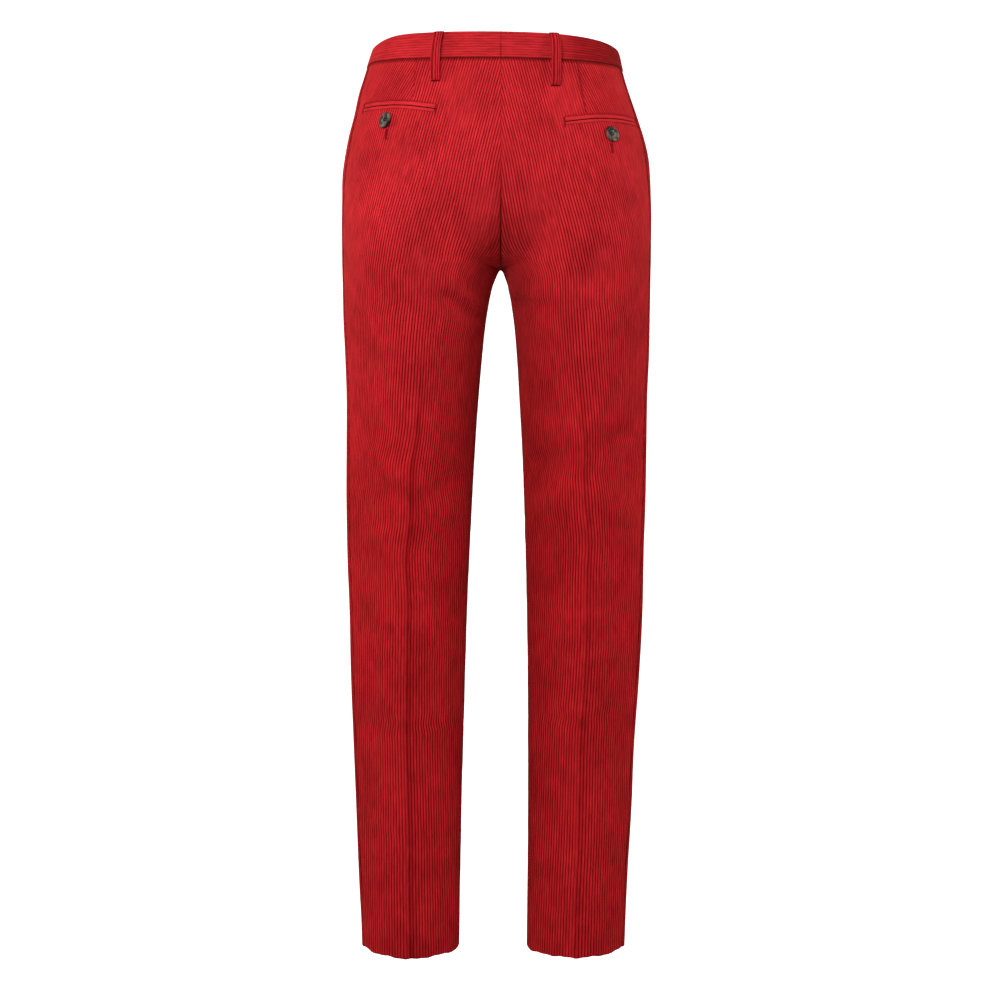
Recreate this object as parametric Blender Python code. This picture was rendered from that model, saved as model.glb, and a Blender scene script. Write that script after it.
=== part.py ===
"""Corduroy trousers, filled out as if worn, with nobody in them.

Metres, +Z up. The front faces -Y, the wearer's left is at +X, and the centre seams lie in the plane X = 0.
The origin is the middle of the waist, half way up the waistband at the centre back.

One rule gives every point of the cloth. At each level the seat is one rounded ring and each leg is another.
Above the crotch the seat turns under, and the two rings are mixed, so that the centre seam follows a quarter of
an ellipse down to the crotch. A place on one side of the garment is (around, level): around is 0 at the
side seam, 1 at the centre back seam or the inseam behind, and -1 at the centre front seam or the inseam in front.
"""

import math

import bmesh
import bpy
import numpy as np

# Levels
WAIST_SEAM = -0.0142
FORK_TOP = -0.139
SEAT_TURN = -0.050
CROTCH = -0.2495
HEM = -1.063
HEM_TURNING = 0.035

# Cloth
PANEL_THICKNESS = 0.0016
HEM_THICKNESS = 0.0030
HEM_STEP = 0.002
SEAM_GAP = 0.0003
REST_GAP = 0.0005
STRIP_THICKNESS = 0.0014

# Where the side seam and the pressed creases run, as angles of a ring from its outer side
SIDE_SEAM = math.radians(16.0)
QUARTER = math.pi / 2
CREASE_SPREAD = math.radians(9.0)
CREASE_BACK = (QUARTER - SIDE_SEAM) / (math.pi - SIDE_SEAM)
CREASE_FRONT = -(QUARTER + SIDE_SEAM) / (math.pi + SIDE_SEAM)

# The hollow along the centre back seam
CLEFT_SPREAD = 0.030

# Waistband
BAND_PROUD = 0.0008
BAND_THICKNESS = 0.0034
BAND_COLUMNS = 40
TAB_LENGTH = 0.045
TAB_LIFT = 0.0037
TAB_BEND = 0.024
TAB_COLUMNS = 4

# Belt loops
LOOP_WIDTH = 0.0115
LOOP_THICKNESS = 0.0022
LOOP_STANDOFF = 0.0066
LOOP_FULLNESS = 0.55
LOOP_SETBACK = 0.0006
LOOP_STEP_DOWN = 0.004
LOOP_STEPS = 12

# Back pockets
JET_HEIGHTS = {"upper": 0.0036, "lower": 0.0048}
JET_SLIT = 0.0010
JET_STEPS = 14

# Front pocket edges
EDGE_WIDTH = 0.009
EDGE_TOP = -0.27
EDGE_FOOT = -0.045
EDGE_FOOT_LEVEL = -0.185
EDGE_STEPS = 14

# Fly
FLY_WIDTH = 0.036
FLY_OVERLAP = 0.008
FLY_FOOT = -0.176
FLY_CURVE = 0.045
FLY_ROUNDNESS = 0.94
FLY_COLUMNS = 6
FLY_ROWS = 12

# Buttons
BUTTON_SIDES = 20
BUTTON_REST = 0.0004
WAIST_BUTTON_INSET = 0.032

# Rows and columns of the leg panels
UPPER_ROWS = 7
FORK_ROWS = 8
ARCH_ROWS = 8
ARCH_HEIGHT = 0.060
SLANT = 3.0
FORK_NEAR = 0.90
OUTER_COLUMNS_BACK = 7
INNER_COLUMNS_BACK = 9
OUTER_COLUMNS_FRONT = 6
INNER_COLUMNS_FRONT = 6

# How many places are tried when one is looked up
TRIALS = 200

LEFT = 1.0
RIGHT = -1.0
SIDES = (("left", LEFT), ("right", RIGHT))


def table(names, *rows):
    """Give a table of rows as one array for each named column."""
    return dict(zip(names.split(), np.array(rows, dtype=float).T))


# Half width to each side, and the places along Y of the back, the front and the widest line
SECTIONS = table(
    "level   left    right    back     front  centre",
    (0.018, 0.1510, 0.1350, 0.1050, -0.1050, 0.000),
    (0.008, 0.1545, 0.1405, 0.1065, -0.1055, 0.000),
    (-0.006, 0.1591, 0.1441, 0.1090, -0.1065, 0.000),
    (-0.020, 0.1630, 0.1469, 0.1120, -0.1075, 0.001),
    (-0.040, 0.1693, 0.1529, 0.1175, -0.1090, 0.002),
    (-0.065, 0.1747, 0.1614, 0.1245, -0.1110, 0.003),
    (-0.090, 0.1807, 0.1693, 0.1310, -0.1130, 0.004),
    (-0.115, 0.1850, 0.1748, 0.1365, -0.1150, 0.005),
    (-0.140, 0.1884, 0.1773, 0.1400, -0.1165, 0.005),
    (-0.170, 0.1898, 0.1793, 0.1420, -0.1170, 0.005),
    (-0.200, 0.1902, 0.1796, 0.1410, -0.1170, 0.004),
    (-0.225, 0.1897, 0.1793, 0.1360, -0.1165, 0.003),
    (-0.250, 0.1893, 0.1787, 0.1285, -0.1150, 0.002),
    (-0.280, 0.1886, 0.1782, 0.1210, -0.1125, 0.001),
    (-0.310, 0.1880, 0.1777, 0.1150, -0.1100, 0.000),
    (-0.350, 0.1862, 0.1772, 0.1080, -0.1060, -0.001),
    (-0.400, 0.1845, 0.1751, 0.1005, -0.1005, -0.002),
    (-0.460, 0.1846, 0.1741, 0.0925, -0.0940, -0.003),
    (-0.520, 0.1849, 0.1732, 0.0855, -0.0870, -0.004),
    (-0.590, 0.1838, 0.1709, 0.0795, -0.0800, -0.004),
    (-0.660, 0.1811, 0.1693, 0.0765, -0.0740, -0.002),
    (-0.740, 0.1790, 0.1649, 0.0755, -0.0680, 0.001),
    (-0.820, 0.1757, 0.1589, 0.0730, -0.0630, 0.003),
    (-0.900, 0.1724, 0.1556, 0.0700, -0.0595, 0.004),
    (-0.980, 0.1692, 0.1507, 0.0670, -0.0575, 0.004),
    (-1.040, 0.1662, 0.1481, 0.0650, -0.0580, 0.003),
    (-1.063, 0.1655, 0.1474, 0.0645, -0.0585, 0.003),
)

# How square the seat's ring is, and how deep its hollow is along the centre back seam
SEAT_FORM = table(
    "level  square  cleft",
    (0.018, 0.030, 0.000),
    (-0.020, 0.028, 0.000),
    (-0.065, 0.022, 0.002),
    (-0.115, 0.016, 0.006),
    (-0.170, 0.012, 0.010),
    (-0.250, 0.012, 0.010),
)

# How square each leg's ring is, how high its creases stand, and how wide the gap between the legs opens:
# half the gap is spread times the square root of the drop below the crotch
LEG_FORM = table(
    "level  square  crease  spread_left  spread_right",
    (-0.139, 0.012, 0.0000, 0.0728, 0.0630),
    (-0.250, 0.010, 0.0005, 0.0728, 0.0630),
    (-0.310, 0.006, 0.0012, 0.0746, 0.0642),
    (-0.350, 0.002, 0.0018, 0.0718, 0.0612),
    (-0.400, -0.002, 0.0024, 0.0699, 0.0581),
    (-0.460, -0.006, 0.0028, 0.0683, 0.0565),
    (-0.520, -0.008, 0.0030, 0.0669, 0.0543),
    (-0.590, -0.010, 0.0032, 0.0655, 0.0519),
    (-0.660, -0.012, 0.0034, 0.0643, 0.0495),
    (-0.740, -0.014, 0.0034, 0.0622, 0.0466),
    (-0.820, -0.016, 0.0034, 0.0607, 0.0436),
    (-0.900, -0.016, 0.0034, 0.0593, 0.0409),
    (-0.980, -0.016, 0.0034, 0.0577, 0.0378),
    (-1.063, -0.016, 0.0034, 0.0562, 0.0350),
)

# The waistband's top edge and lower seam round each side
BAND_EDGES = table(
    "around top_left top_right seam_left seam_right",
    (1.0, 0.0170, 0.0170, -0.0142, -0.0142),
    (0.6, 0.0180, 0.0155, -0.0128, -0.0150),
    (0.3, 0.0182, 0.0128, -0.0105, -0.0145),
    (0.0, 0.0130, 0.0098, -0.0080, -0.0125),
    (-0.3, 0.0105, 0.0090, -0.0130, -0.0150),
    (-0.6, 0.0085, 0.0080, -0.0200, -0.0210),
    (-1.0, 0.0070, 0.0070, -0.0250, -0.0250),
)

# Levels of the leg rows below the arch, close together behind the knees where the cloth creases most
LEG_ROWS = (
    -0.3095, -0.334, -0.360, -0.386, -0.410, -0.432, -0.446, -0.459, -0.472, -0.485, -0.498, -0.511,
    -0.524, -0.538, -0.554, -0.574, -0.600, -0.634, -0.676, -0.726, -0.786, -0.850, -0.914, -0.974, -1.028, HEM,
)

# The largest folds: a soft ridge or trough between two places, each given by X and level
FACES = {"back": 1.0, "front": -1.0}
FOLD_FADE = 3.0
FOLDS = (
    ("back", table(
        "x_start  z_start  x_end  z_end  half_width  height",
        (0.060, -0.279, 0.030, -0.298, 0.0085, 0.0030),
        (0.070, -0.289, 0.038, -0.305, 0.0085, -0.0028),
        (0.066, -0.312, 0.036, -0.322, 0.0110, 0.0018),
        (-0.012, -0.277, -0.044, -0.290, 0.0085, 0.0024),
        (-0.016, -0.291, -0.052, -0.303, 0.0090, -0.0024),
        (-0.017, -0.155, -0.040, -0.120, 0.0120, 0.0022),
        (-0.004, -0.045, -0.046, -0.060, 0.0120, -0.0020),
        (-0.026, -0.492, -0.056, -0.476, 0.0110, -0.0034),
        (-0.052, -0.528, -0.094, -0.490, 0.0130, 0.0030),
        (-0.034, -0.566, -0.070, -0.530, 0.0120, 0.0024),
        (-0.108, -0.464, -0.142, -0.450, 0.0120, -0.0030),
        (-0.112, -0.520, -0.150, -0.548, 0.0140, 0.0026),
        (0.150, -0.474, 0.118, -0.500, 0.0130, 0.0030),
        (0.142, -0.512, 0.104, -0.536, 0.0120, -0.0028),
        (0.052, -0.500, 0.090, -0.524, 0.0130, -0.0030),
        (0.056, -0.540, 0.096, -0.556, 0.0130, 0.0026),
        (0.150, -0.562, 0.120, -0.586, 0.0140, 0.0024),
    )),
    ("front", table(
        "x_start  z_start  x_end  z_end  half_width  height",
        (0.010, -0.258, 0.060, -0.232, 0.0110, 0.0030),
        (0.012, -0.278, 0.066, -0.262, 0.0110, -0.0026),
        (-0.010, -0.257, -0.056, -0.230, 0.0110, 0.0030),
        (-0.012, -0.279, -0.064, -0.264, 0.0110, -0.0026),
        (0.052, -0.552, 0.090, -0.566, 0.0140, 0.0024),
        (0.150, -0.530, 0.122, -0.556, 0.0140, -0.0024),
        (-0.048, -0.546, -0.082, -0.562, 0.0140, 0.0024),
        (-0.146, -0.536, -0.116, -0.560, 0.0140, -0.0024),
    )),
)

# Belt loops: the place round the side and the level of the lower end, for the back, side and front loop
LOOP_NAMES = ("back", "side", "front")
LOOPS = {
    "left": table(
        "around_top  around_foot  foot",
        (0.6585, 0.6740, -0.0420),
        (-0.3600, -0.3600, -0.0480),
        (-0.7500, -0.7500, -0.0560),
    ),
    "right": table(
        "around_top  around_foot  foot",
        (0.6787, 0.7060, -0.0480),
        (-0.3600, -0.3600, -0.0490),
        (-0.7500, -0.7500, -0.0560),
    ),
}

# Back pocket slits: distance from the centre seam and level at the inner end, the middle and the outer end
POCKETS = {
    "left": table("x level", (0.0761, -0.0749), (0.1170, -0.0682), (0.1605, -0.0657)),
    "right": table("x level", (0.0740, -0.0902), (0.1160, -0.0839), (0.1583, -0.0814)),
}
BACK_BUTTONS = {"left": (0.1324, -0.0860), "right": (0.1281, -0.1022)}

# A button's profile: radius and height over its under side, from the middle of the top to the middle below
BUTTON_PROFILE = table(
    "radius height",
    (0.0000, 0.0017),
    (0.0046, 0.0018),
    (0.0058, 0.0027),
    (0.0080, 0.0031),
    (0.0092, 0.0023),
    (0.0095, 0.0014),
    (0.0082, 0.0003),
    (0.0000, 0.0000),
)

MATERIALS = {
    "corduroy": ((0.46, 0.018, 0.022), 0.85),
    "horn": ((0.060, 0.055, 0.035), 0.35),
}


def read(rows, name, at):
    """Read a column between its rows, along a smooth curve through them."""
    key = next(iter(rows))
    order = np.argsort(rows[key])
    keys = rows[key][order]
    values = rows[name][order]
    slopes = np.gradient(values, keys)
    at = np.clip(at, keys[0], keys[-1])
    row = np.clip(np.searchsorted(keys, at) - 1, 0, len(keys) - 2)
    span = keys[row + 1] - keys[row]
    t = (at - keys[row]) / span
    start = (1 + 2 * t) * (1 - t) ** 2 * values[row] + t * (1 - t) ** 2 * span * slopes[row]
    end = t * t * (3 - 2 * t) * values[row + 1] - t * t * (1 - t) * span * slopes[row + 1]
    return start + end


def ease(share):
    """Turn a share into a soft step from 0 to 1."""
    share = np.clip(share, 0.0, 1.0)
    return share * share * (3 - 2 * share)


def side_name(side):
    """Name the side that a sign stands for."""
    return "left" if side > 0 else "right"


def fork(around, level):
    """Give how far the seat has turned into the legs: 0 in the seat, 1 at the crotch and below.

    Along the centre seams it follows a quarter of an ellipse from FORK_TOP, and from the creases outwards a long
    soft step from SEAT_TURN.
    """
    rise = np.clip((level - CROTCH) / (FORK_TOP - CROTCH), 0.0, 1.0)
    curved = 1.0 - np.sqrt(np.clip(1.0 - (1.0 - rise) ** 2, 0.0, 1.0))
    fall = (SEAT_TURN - level) / (SEAT_TURN - CROTCH)
    soft = ease(fall)
    crease = np.where(around > 0, CREASE_BACK, -CREASE_FRONT)
    near = ease((np.abs(around) - crease) / (FORK_NEAR - crease))
    return soft + (curved - soft) * near


def ring(angle, square):
    """Give a rounded ring's two shares at an angle: across and along, squarer where square is above 0."""
    across = (np.cos(angle) - square * np.cos(3 * angle)) / (1 - square)
    along = (np.sin(angle) + square * np.sin(3 * angle)) / (1 - square)
    return across, along


def raise_folds(points, outward, around):
    """Move points out or in where the largest folds run, and leave the seams where they are."""
    for face, folds in FOLDS:
        held = np.clip(FOLD_FADE * np.sin(math.pi * around * FACES[face]), 0.0, 1.0)
        for row in range(len(folds["height"])):
            start = np.array([folds["x_start"][row], folds["z_start"][row]])
            run = np.array([folds["x_end"][row], folds["z_end"][row]]) - start
            place = points[..., [0, 2]] - start
            share = np.clip(place @ run / (run @ run), 0.0, 1.0)
            distance = np.linalg.norm(place - share[..., None] * run, axis=-1)
            swell = np.exp(-(distance / folds["half_width"][row]) ** 2)
            points = points + outward * (held * swell * folds["height"][row])[..., None]
    return points


def surface(side, around, level):
    """Give the cloth's outer points at places on one side, with the directions that face outwards there."""
    around, level = np.broadcast_arrays(np.asarray(around, float), np.asarray(level, float))
    name = side_name(side)
    outer = read(SECTIONS, name, level)
    centre = read(SECTIONS, "centre", level)
    behind = read(SECTIONS, "back", level) - centre
    ahead = centre - read(SECTIONS, "front", level)

    seat_angle = SIDE_SEAM + around * np.where(around > 0, QUARTER - SIDE_SEAM, QUARTER + SIDE_SEAM)
    across, along = ring(seat_angle, read(SEAT_FORM, "square", level))
    seat_x = outer * across
    seat_y = along * np.where(along > 0, behind, ahead)
    hollow = read(SEAT_FORM, "cleft", level) * np.exp(-np.abs(seat_x) / CLEFT_SPREAD)
    seat_y = seat_y - np.where(along > 0, hollow, 0.0)

    leg_angle = SIDE_SEAM + around * np.where(around > 0, math.pi - SIDE_SEAM, math.pi + SIDE_SEAM)
    across, along = ring(leg_angle, read(LEG_FORM, "square", level))
    inner = read(LEG_FORM, "spread_" + name, level) * np.sqrt(np.clip(CROTCH - level, 0.0, None))
    leg_x = (outer + inner) / 2 + (outer - inner) / 2 * across
    from_crease = np.abs(np.abs(leg_angle) - QUARTER)
    ridge = read(LEG_FORM, "crease", level) * np.exp(-from_crease / CREASE_SPREAD)
    leg_y = along * np.where(along > 0, behind, ahead) + np.sign(along) * ridge

    share = fork(around, level)
    x = (1 - share) * seat_x + share * leg_x
    y = (1 - share) * seat_y + share * leg_y + centre
    points = np.stack([side * x, y, level], axis=-1)
    outward = np.stack([
        side * ((1 - share) * np.cos(seat_angle) + share * np.cos(leg_angle)),
        (1 - share) * np.sin(seat_angle) + share * np.sin(leg_angle),
        np.zeros_like(level),
    ], axis=-1)
    outward /= np.maximum(np.linalg.norm(outward, axis=-1, keepdims=True), 1e-6)
    return raise_folds(points, outward, around), outward


def facing(side, around, level, step=0.002):
    """Give the points at places and their true normals, from the slopes of the surface."""
    around, level = np.broadcast_arrays(np.asarray(around, float), np.asarray(level, float))
    points = surface(side, around, level)[0]
    turned = surface(side, around + step, level)[0] - surface(side, around - step, level)[0]
    raised = surface(side, around, level + step)[0] - surface(side, around, level - step)[0]
    normals = side * np.cross(turned, raised)
    return points, normals / np.linalg.norm(normals, axis=-1, keepdims=True)


def around_at(side, x, level, face):
    """Find the place round one side whose distance from the centre seam is x, behind or in front."""
    trial = np.linspace(0.0, 1.0, TRIALS) * FACES[face]
    reach = np.abs(surface(side, trial, level)[0][:, 0])
    order = np.argsort(reach)
    return float(np.interp(x, reach[order], trial[order]))


def waist_seam(side, around):
    """Give the level of the waistband's lower seam."""
    return read(BAND_EDGES, "seam_" + side_name(side), around)


def grid_normals(points):
    """Average the normals of a grid's faces at each of its points."""
    down = points[1:, :] - points[:-1, :]
    over = points[:, 1:] - points[:, :-1]
    first = np.cross(down[:, 1:], over[:-1])
    second = np.cross(down[:, :-1], over[1:])
    normals = np.zeros_like(points)
    for face in (first, second):
        normals[:-1, :-1] += face
        normals[1:, 1:] += face
        normals[:-1, 1:] += face
        normals[1:, :-1] += face
    return normals / np.maximum(np.linalg.norm(normals, axis=-1, keepdims=True), 1e-12)


def material(name):
    """Give the named material, made once."""
    found = bpy.data.materials.get(name)
    if found:
        return found
    colour, roughness = MATERIALS[name]
    made = bpy.data.materials.new(name)
    made.use_nodes = True
    shader = made.node_tree.nodes["Principled BSDF"]
    shader.inputs["Base Color"].default_value = (*colour, 1.0)
    shader.inputs["Roughness"].default_value = roughness
    shader.inputs["Metallic"].default_value = 0.0
    return made


def solid(name, points, faces, finish):
    """Make one closed solid whose faces point outwards."""
    mesh = bpy.data.meshes.new(name)
    mesh.from_pydata(points.tolist(), [], faces)
    work = bmesh.new()
    work.from_mesh(mesh)
    bmesh.ops.recalc_face_normals(work, faces=work.faces)
    if work.calc_volume(signed=True) < 0:
        bmesh.ops.reverse_faces(work, faces=work.faces)
    work.to_mesh(mesh)
    work.free()
    mesh.shade_smooth()
    mesh.set_sharp_from_angle(angle=math.radians(40))
    mesh.materials.append(material(finish))
    made = bpy.data.objects.new(name, mesh)
    bpy.context.scene.collection.objects.link(made)
    return made


def wall(name, outer, inner, finish="corduroy"):
    """Make a closed wall between an outer and an inner grid of points."""
    rows, columns = outer.shape[:2]
    index = np.arange(rows * columns).reshape(rows, columns)
    top_left, top_right = index[:-1, :-1].ravel(), index[:-1, 1:].ravel()
    foot_left, foot_right = index[1:, :-1].ravel(), index[1:, 1:].ravel()
    skin = np.concatenate([
        np.stack([top_left, top_right, foot_right], axis=1),
        np.stack([top_left, foot_right, foot_left], axis=1),
    ])
    rim = np.concatenate([index[0, :-1], index[:-1, -1], index[-1, :0:-1], index[:0:-1, 0]])
    after = np.roll(rim, -1)
    lining = rows * columns
    edge = np.concatenate([
        np.stack([rim, rim + lining, after + lining], axis=1),
        np.stack([rim, after + lining, after], axis=1),
    ])
    faces = np.concatenate([skin, skin[:, ::-1] + lining, edge])
    points = np.concatenate([outer.reshape(-1, 3), inner.reshape(-1, 3)])
    return solid(name, points, faces.tolist(), finish)


def panel_levels(side, around):
    """Give the level of each row of a leg panel at each column: rows slant where the seat turns under."""
    slant = np.abs(around) ** SLANT
    seam = waist_seam(side, around) - SEAM_GAP / 2
    upper = np.linspace(0, 1, UPPER_ROWS + 1)[:-1, None]
    seat = seam + (FORK_TOP - seam) * upper
    turn = np.linspace(0, 1, FORK_ROWS + 1)[:-1, None]
    under = CROTCH + (FORK_TOP - CROTCH) * ((1 - turn) + (turn - np.sin(turn * QUARTER)) * slant)
    drop = np.linspace(0, 1, ARCH_ROWS + 1)[:-1, None]
    arch = CROTCH - ARCH_HEIGHT * (drop + (drop ** 2 - drop) * slant)
    leg = np.array(LEG_ROWS)[:, None] * np.ones_like(around)
    return np.concatenate([seat, under, arch, leg])


def leg_columns():
    """Give the columns right round one side, from the front inner edge to the back one."""
    return np.concatenate([
        np.linspace(-1.0, CREASE_FRONT, INNER_COLUMNS_FRONT + 1)[:-1],
        np.linspace(CREASE_FRONT, 0.0, OUTER_COLUMNS_FRONT + 1)[:-1],
        np.linspace(0.0, CREASE_BACK, OUTER_COLUMNS_BACK + 1)[:-1],
        np.linspace(CREASE_BACK, 1.0, INNER_COLUMNS_BACK + 1),
    ])


def draw_in(grid, side):
    """Pull the edge columns of a panel back by half a seam gap, and keep it on its own side of the middle."""
    for edge, neighbour in ((0, 1), (-1, -2)):
        run = grid[:, neighbour] - grid[:, edge]
        grid[:, edge] += run / np.linalg.norm(run, axis=-1, keepdims=True) * SEAM_GAP / 2
    grid[..., 0] = side * np.maximum(side * grid[..., 0], SEAM_GAP / 2)
    return grid


def leg_panels(name, side):
    """Make the back and front panels of one leg from one run of columns."""
    around = leg_columns()
    level = panel_levels(side, around)
    outer = surface(side, around, level)[0]
    normals = side * grid_normals(outer)
    inseam = slice(UPPER_ROWS + FORK_ROWS, None)
    shared = normals[inseam, 0] + normals[inseam, -1]
    normals[inseam, [0, -1]] = (shared / np.linalg.norm(shared, axis=-1, keepdims=True))[:, None]
    turned_up = np.clip((HEM + HEM_TURNING - level) / HEM_STEP, 0.0, 1.0)
    thickness = PANEL_THICKNESS + (HEM_THICKNESS - PANEL_THICKNESS) * turned_up
    inner = outer - normals * thickness[..., None]
    inner[-1, :, 2] = HEM
    seam = OUTER_COLUMNS_FRONT + INNER_COLUMNS_FRONT
    for face, columns in (("front", slice(0, seam + 1)), ("back", slice(seam, None))):
        skins = [draw_in(grid[:, columns].copy(), side) for grid in (outer, inner)]
        wall(f"{face}_{name}", *skins)


def band_places(side, around, share):
    """Give points and level normals of the waistband's middle surface at shares of its height."""
    name = side_name(side)
    top = read(BAND_EDGES, "top_" + name, around)
    seam = read(BAND_EDGES, "seam_" + name, around) + SEAM_GAP / 2
    return facing(side, around, seam + (top - seam) * share)


def waistband(name, side):
    """Make one half of the waistband; the left half runs on as a tab over the right one."""
    share = np.array([1.0, 0.5, 0.0])[:, None]
    around = np.linspace(-1.0, 1.0, BAND_COLUMNS + 1)
    points, normals = band_places(side, around, share)
    lift = np.zeros(points.shape[:2])
    if side == LEFT:
        reach = np.abs(points[1, :, 0])
        lift = lift + TAB_LIFT * ease(1.0 - reach / TAB_BEND) * (around < 0)
        tab_end = around_at(RIGHT, TAB_LENGTH, WAIST_SEAM, "front")
        other = np.linspace(tab_end, -1.0, TAB_COLUMNS + 1)[:-1]
        tab_points, tab_normals = band_places(RIGHT, other, share)
        points = np.concatenate([tab_points, points], axis=1)
        normals = np.concatenate([tab_normals, normals], axis=1)
        lift = np.concatenate([np.full(tab_points.shape[:2], TAB_LIFT), lift], axis=1)
    outer = points + normals * (BAND_PROUD + lift)[..., None]
    inner = points + normals * (BAND_PROUD - BAND_THICKNESS + lift)[..., None]
    for grid in (outer, inner):
        grid[:, -1, 0] = side * SEAM_GAP / 2
        if side == RIGHT:
            grid[:, 0, 0] = side * SEAM_GAP / 2
    wall(f"waistband_{name}", outer, inner)


def strip(name, points, normals, sideways, width, rise, thickness):
    """Make a flat strip along a path, held off by rise, with a width to each side of the path."""
    halves = np.array([-0.5, 0.5])[None, :, None] * width
    low = points[:, None] + normals[:, None] * np.asarray(rise)[:, None, None] + sideways[:, None] * halves
    high = low + normals[:, None] * thickness
    return wall(name, high, low)


def belt_loop(name, side, around_top, around_foot, foot):
    """Make one belt loop: it leaves the waistband's top edge, stands off and comes back to the panel."""
    top = read(BAND_EDGES, "top_" + side_name(side), around_top) - LOOP_SETBACK
    share = np.linspace(0.0, 1.0, LOOP_STEPS + 1)
    around = around_top + (around_foot - around_top) * share
    level = top + (foot - top) * share
    points, normals = facing(side, around, level)
    on_band = np.clip((level - waist_seam(side, around)) / LOOP_STEP_DOWN + 1.0, 0.0, 1.0)
    rise = REST_GAP + BAND_PROUD * on_band + LOOP_STANDOFF * np.sin(math.pi * share) ** LOOP_FULLNESS
    sideways = np.cross(normals, (0.0, 0.0, 1.0))
    sideways /= np.linalg.norm(sideways, axis=-1, keepdims=True)
    strip(name, points, normals, sideways, LOOP_WIDTH, rise, LOOP_THICKNESS)


def belt_loops(name, side):
    """Make the three belt loops of one side."""
    for place, *path in zip(LOOP_NAMES, *LOOPS[name].values()):
        belt_loop(f"belt_loop_{place}_{name}", side, *path)


def pocket_jets(name, side):
    """Make the two jets of a back pocket, above and below its slit."""
    slit = POCKETS[name]
    x = np.linspace(slit["x"][0], slit["x"][-1], JET_STEPS + 1)
    level = read(slit, "level", x)
    around = np.array([around_at(side, place, height, "back") for place, height in zip(x, level)])
    points, normals = facing(side, around, level)
    run = np.gradient(points, axis=0)
    upward = np.cross(run, normals) * -side
    upward /= np.linalg.norm(upward, axis=-1, keepdims=True)
    rise = np.full(len(x), REST_GAP)
    for edge, sign in (("upper", 1.0), ("lower", -1.0)):
        height = JET_HEIGHTS[edge]
        middle = points + upward * sign * (height + JET_SLIT) / 2
        strip(f"pocket_jet_{edge}_{name}", middle, normals, upward, height, rise, STRIP_THICKNESS)


def front_pocket_edge(name, side):
    """Make the folded edge of a slanted front pocket, from the waist seam to the side seam."""
    share = np.linspace(0.0, 1.0, EDGE_STEPS + 1)
    around = EDGE_TOP + (EDGE_FOOT - EDGE_TOP) * share
    top = waist_seam(side, around[0]) - 2 * SEAM_GAP
    level = top + (EDGE_FOOT_LEVEL - top) * share
    points, normals = facing(side, around, level)
    run = np.gradient(points, axis=0)
    sideways = np.cross(run, normals)
    sideways /= np.linalg.norm(sideways, axis=-1, keepdims=True)
    sideways[0] = (sideways[0][0], sideways[0][1], 0.0)
    strip(f"front_pocket_edge_{name}", points, normals, sideways, EDGE_WIDTH, np.full(len(share), REST_GAP),
          STRIP_THICKNESS)


def front_place(x, level):
    """Give the front's points and normals at distances from the middle, on whichever side they fall."""
    points = np.zeros(x.shape + (3,))
    normals = np.zeros(x.shape + (3,))
    for _, side in SIDES:
        for place in np.argwhere(np.sign(x + 1e-9) == side):
            spot = tuple(place)
            around = around_at(side, abs(x[spot]), level[spot], "front")
            points[spot], normals[spot] = facing(side, around, level[spot])
    return points, normals


def fly():
    """Make the fly: the layer that laps over the centre front seam and ends in a curve."""
    share = np.linspace(0.0, 1.0, FLY_ROWS + 1)[:, None]
    over = np.linspace(0.0, 1.0, FLY_COLUMNS + 1)[None, :]
    top = waist_seam(LEFT, -1.0) - 2 * SEAM_GAP
    level = top + (FLY_FOOT - top) * share
    bend = np.clip((FLY_FOOT + FLY_CURVE - level) / FLY_CURVE, 0.0, 1.0)
    reach = FLY_WIDTH * np.sqrt(1.0 - FLY_ROUNDNESS * bend ** 2)
    x = -FLY_OVERLAP + over * (reach + FLY_OVERLAP)
    points, normals = front_place(x, np.broadcast_to(level, x.shape))
    inner = points + normals * REST_GAP
    wall("fly", inner + normals * STRIP_THICKNESS, inner)


def button(name, point, normal):
    """Make a turned button that lies on a point of the cloth and faces along its normal."""
    angle = np.linspace(0.0, 2 * math.pi, BUTTON_SIDES, endpoint=False)
    normal = normal / np.linalg.norm(normal)
    first = np.cross((0.0, 0.0, 1.0), normal)
    first /= np.linalg.norm(first)
    second = np.cross(normal, first)
    base = point + normal * BUTTON_REST
    radii, heights = BUTTON_PROFILE["radius"][1:-1], BUTTON_PROFILE["height"][1:-1]
    circle = np.cos(angle)[:, None] * first + np.sin(angle)[:, None] * second
    rings = base + radii[:, None, None] * circle + heights[:, None, None] * normal
    ends = base + BUTTON_PROFILE["height"][[0, -1], None] * normal
    points = np.concatenate([rings.reshape(-1, 3), ends])
    faces = []
    for level in range(len(radii) - 1):
        for turn in range(BUTTON_SIDES):
            here = level * BUTTON_SIDES + turn
            beside = level * BUTTON_SIDES + (turn + 1) % BUTTON_SIDES
            faces.append((here, here + BUTTON_SIDES, beside + BUTTON_SIDES, beside))
    crown, foot = len(points) - 2, len(points) - 1
    last = (len(radii) - 1) * BUTTON_SIDES
    for turn in range(BUTTON_SIDES):
        beside = (turn + 1) % BUTTON_SIDES
        faces.append((crown, turn, beside))
        faces.append((foot, last + beside, last + turn))
    return solid(name, points, faces, "horn")


def buttons():
    """Make the two back pocket buttons and the waistband button."""
    for name, side in SIDES:
        x, level = BACK_BUTTONS[name]
        point, normal = facing(side, around_at(side, x, level, "back"), level)
        button(f"button_back_{name}", point, normal)
    around = around_at(RIGHT, WAIST_BUTTON_INSET, WAIST_SEAM, "front")
    points, normals = band_places(RIGHT, np.array([around]), np.array([[0.5]]))
    normal = normals[0, 0]
    button("button_waist", points[0, 0] + normal * (BAND_PROUD + TAB_LIFT), normal)


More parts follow.
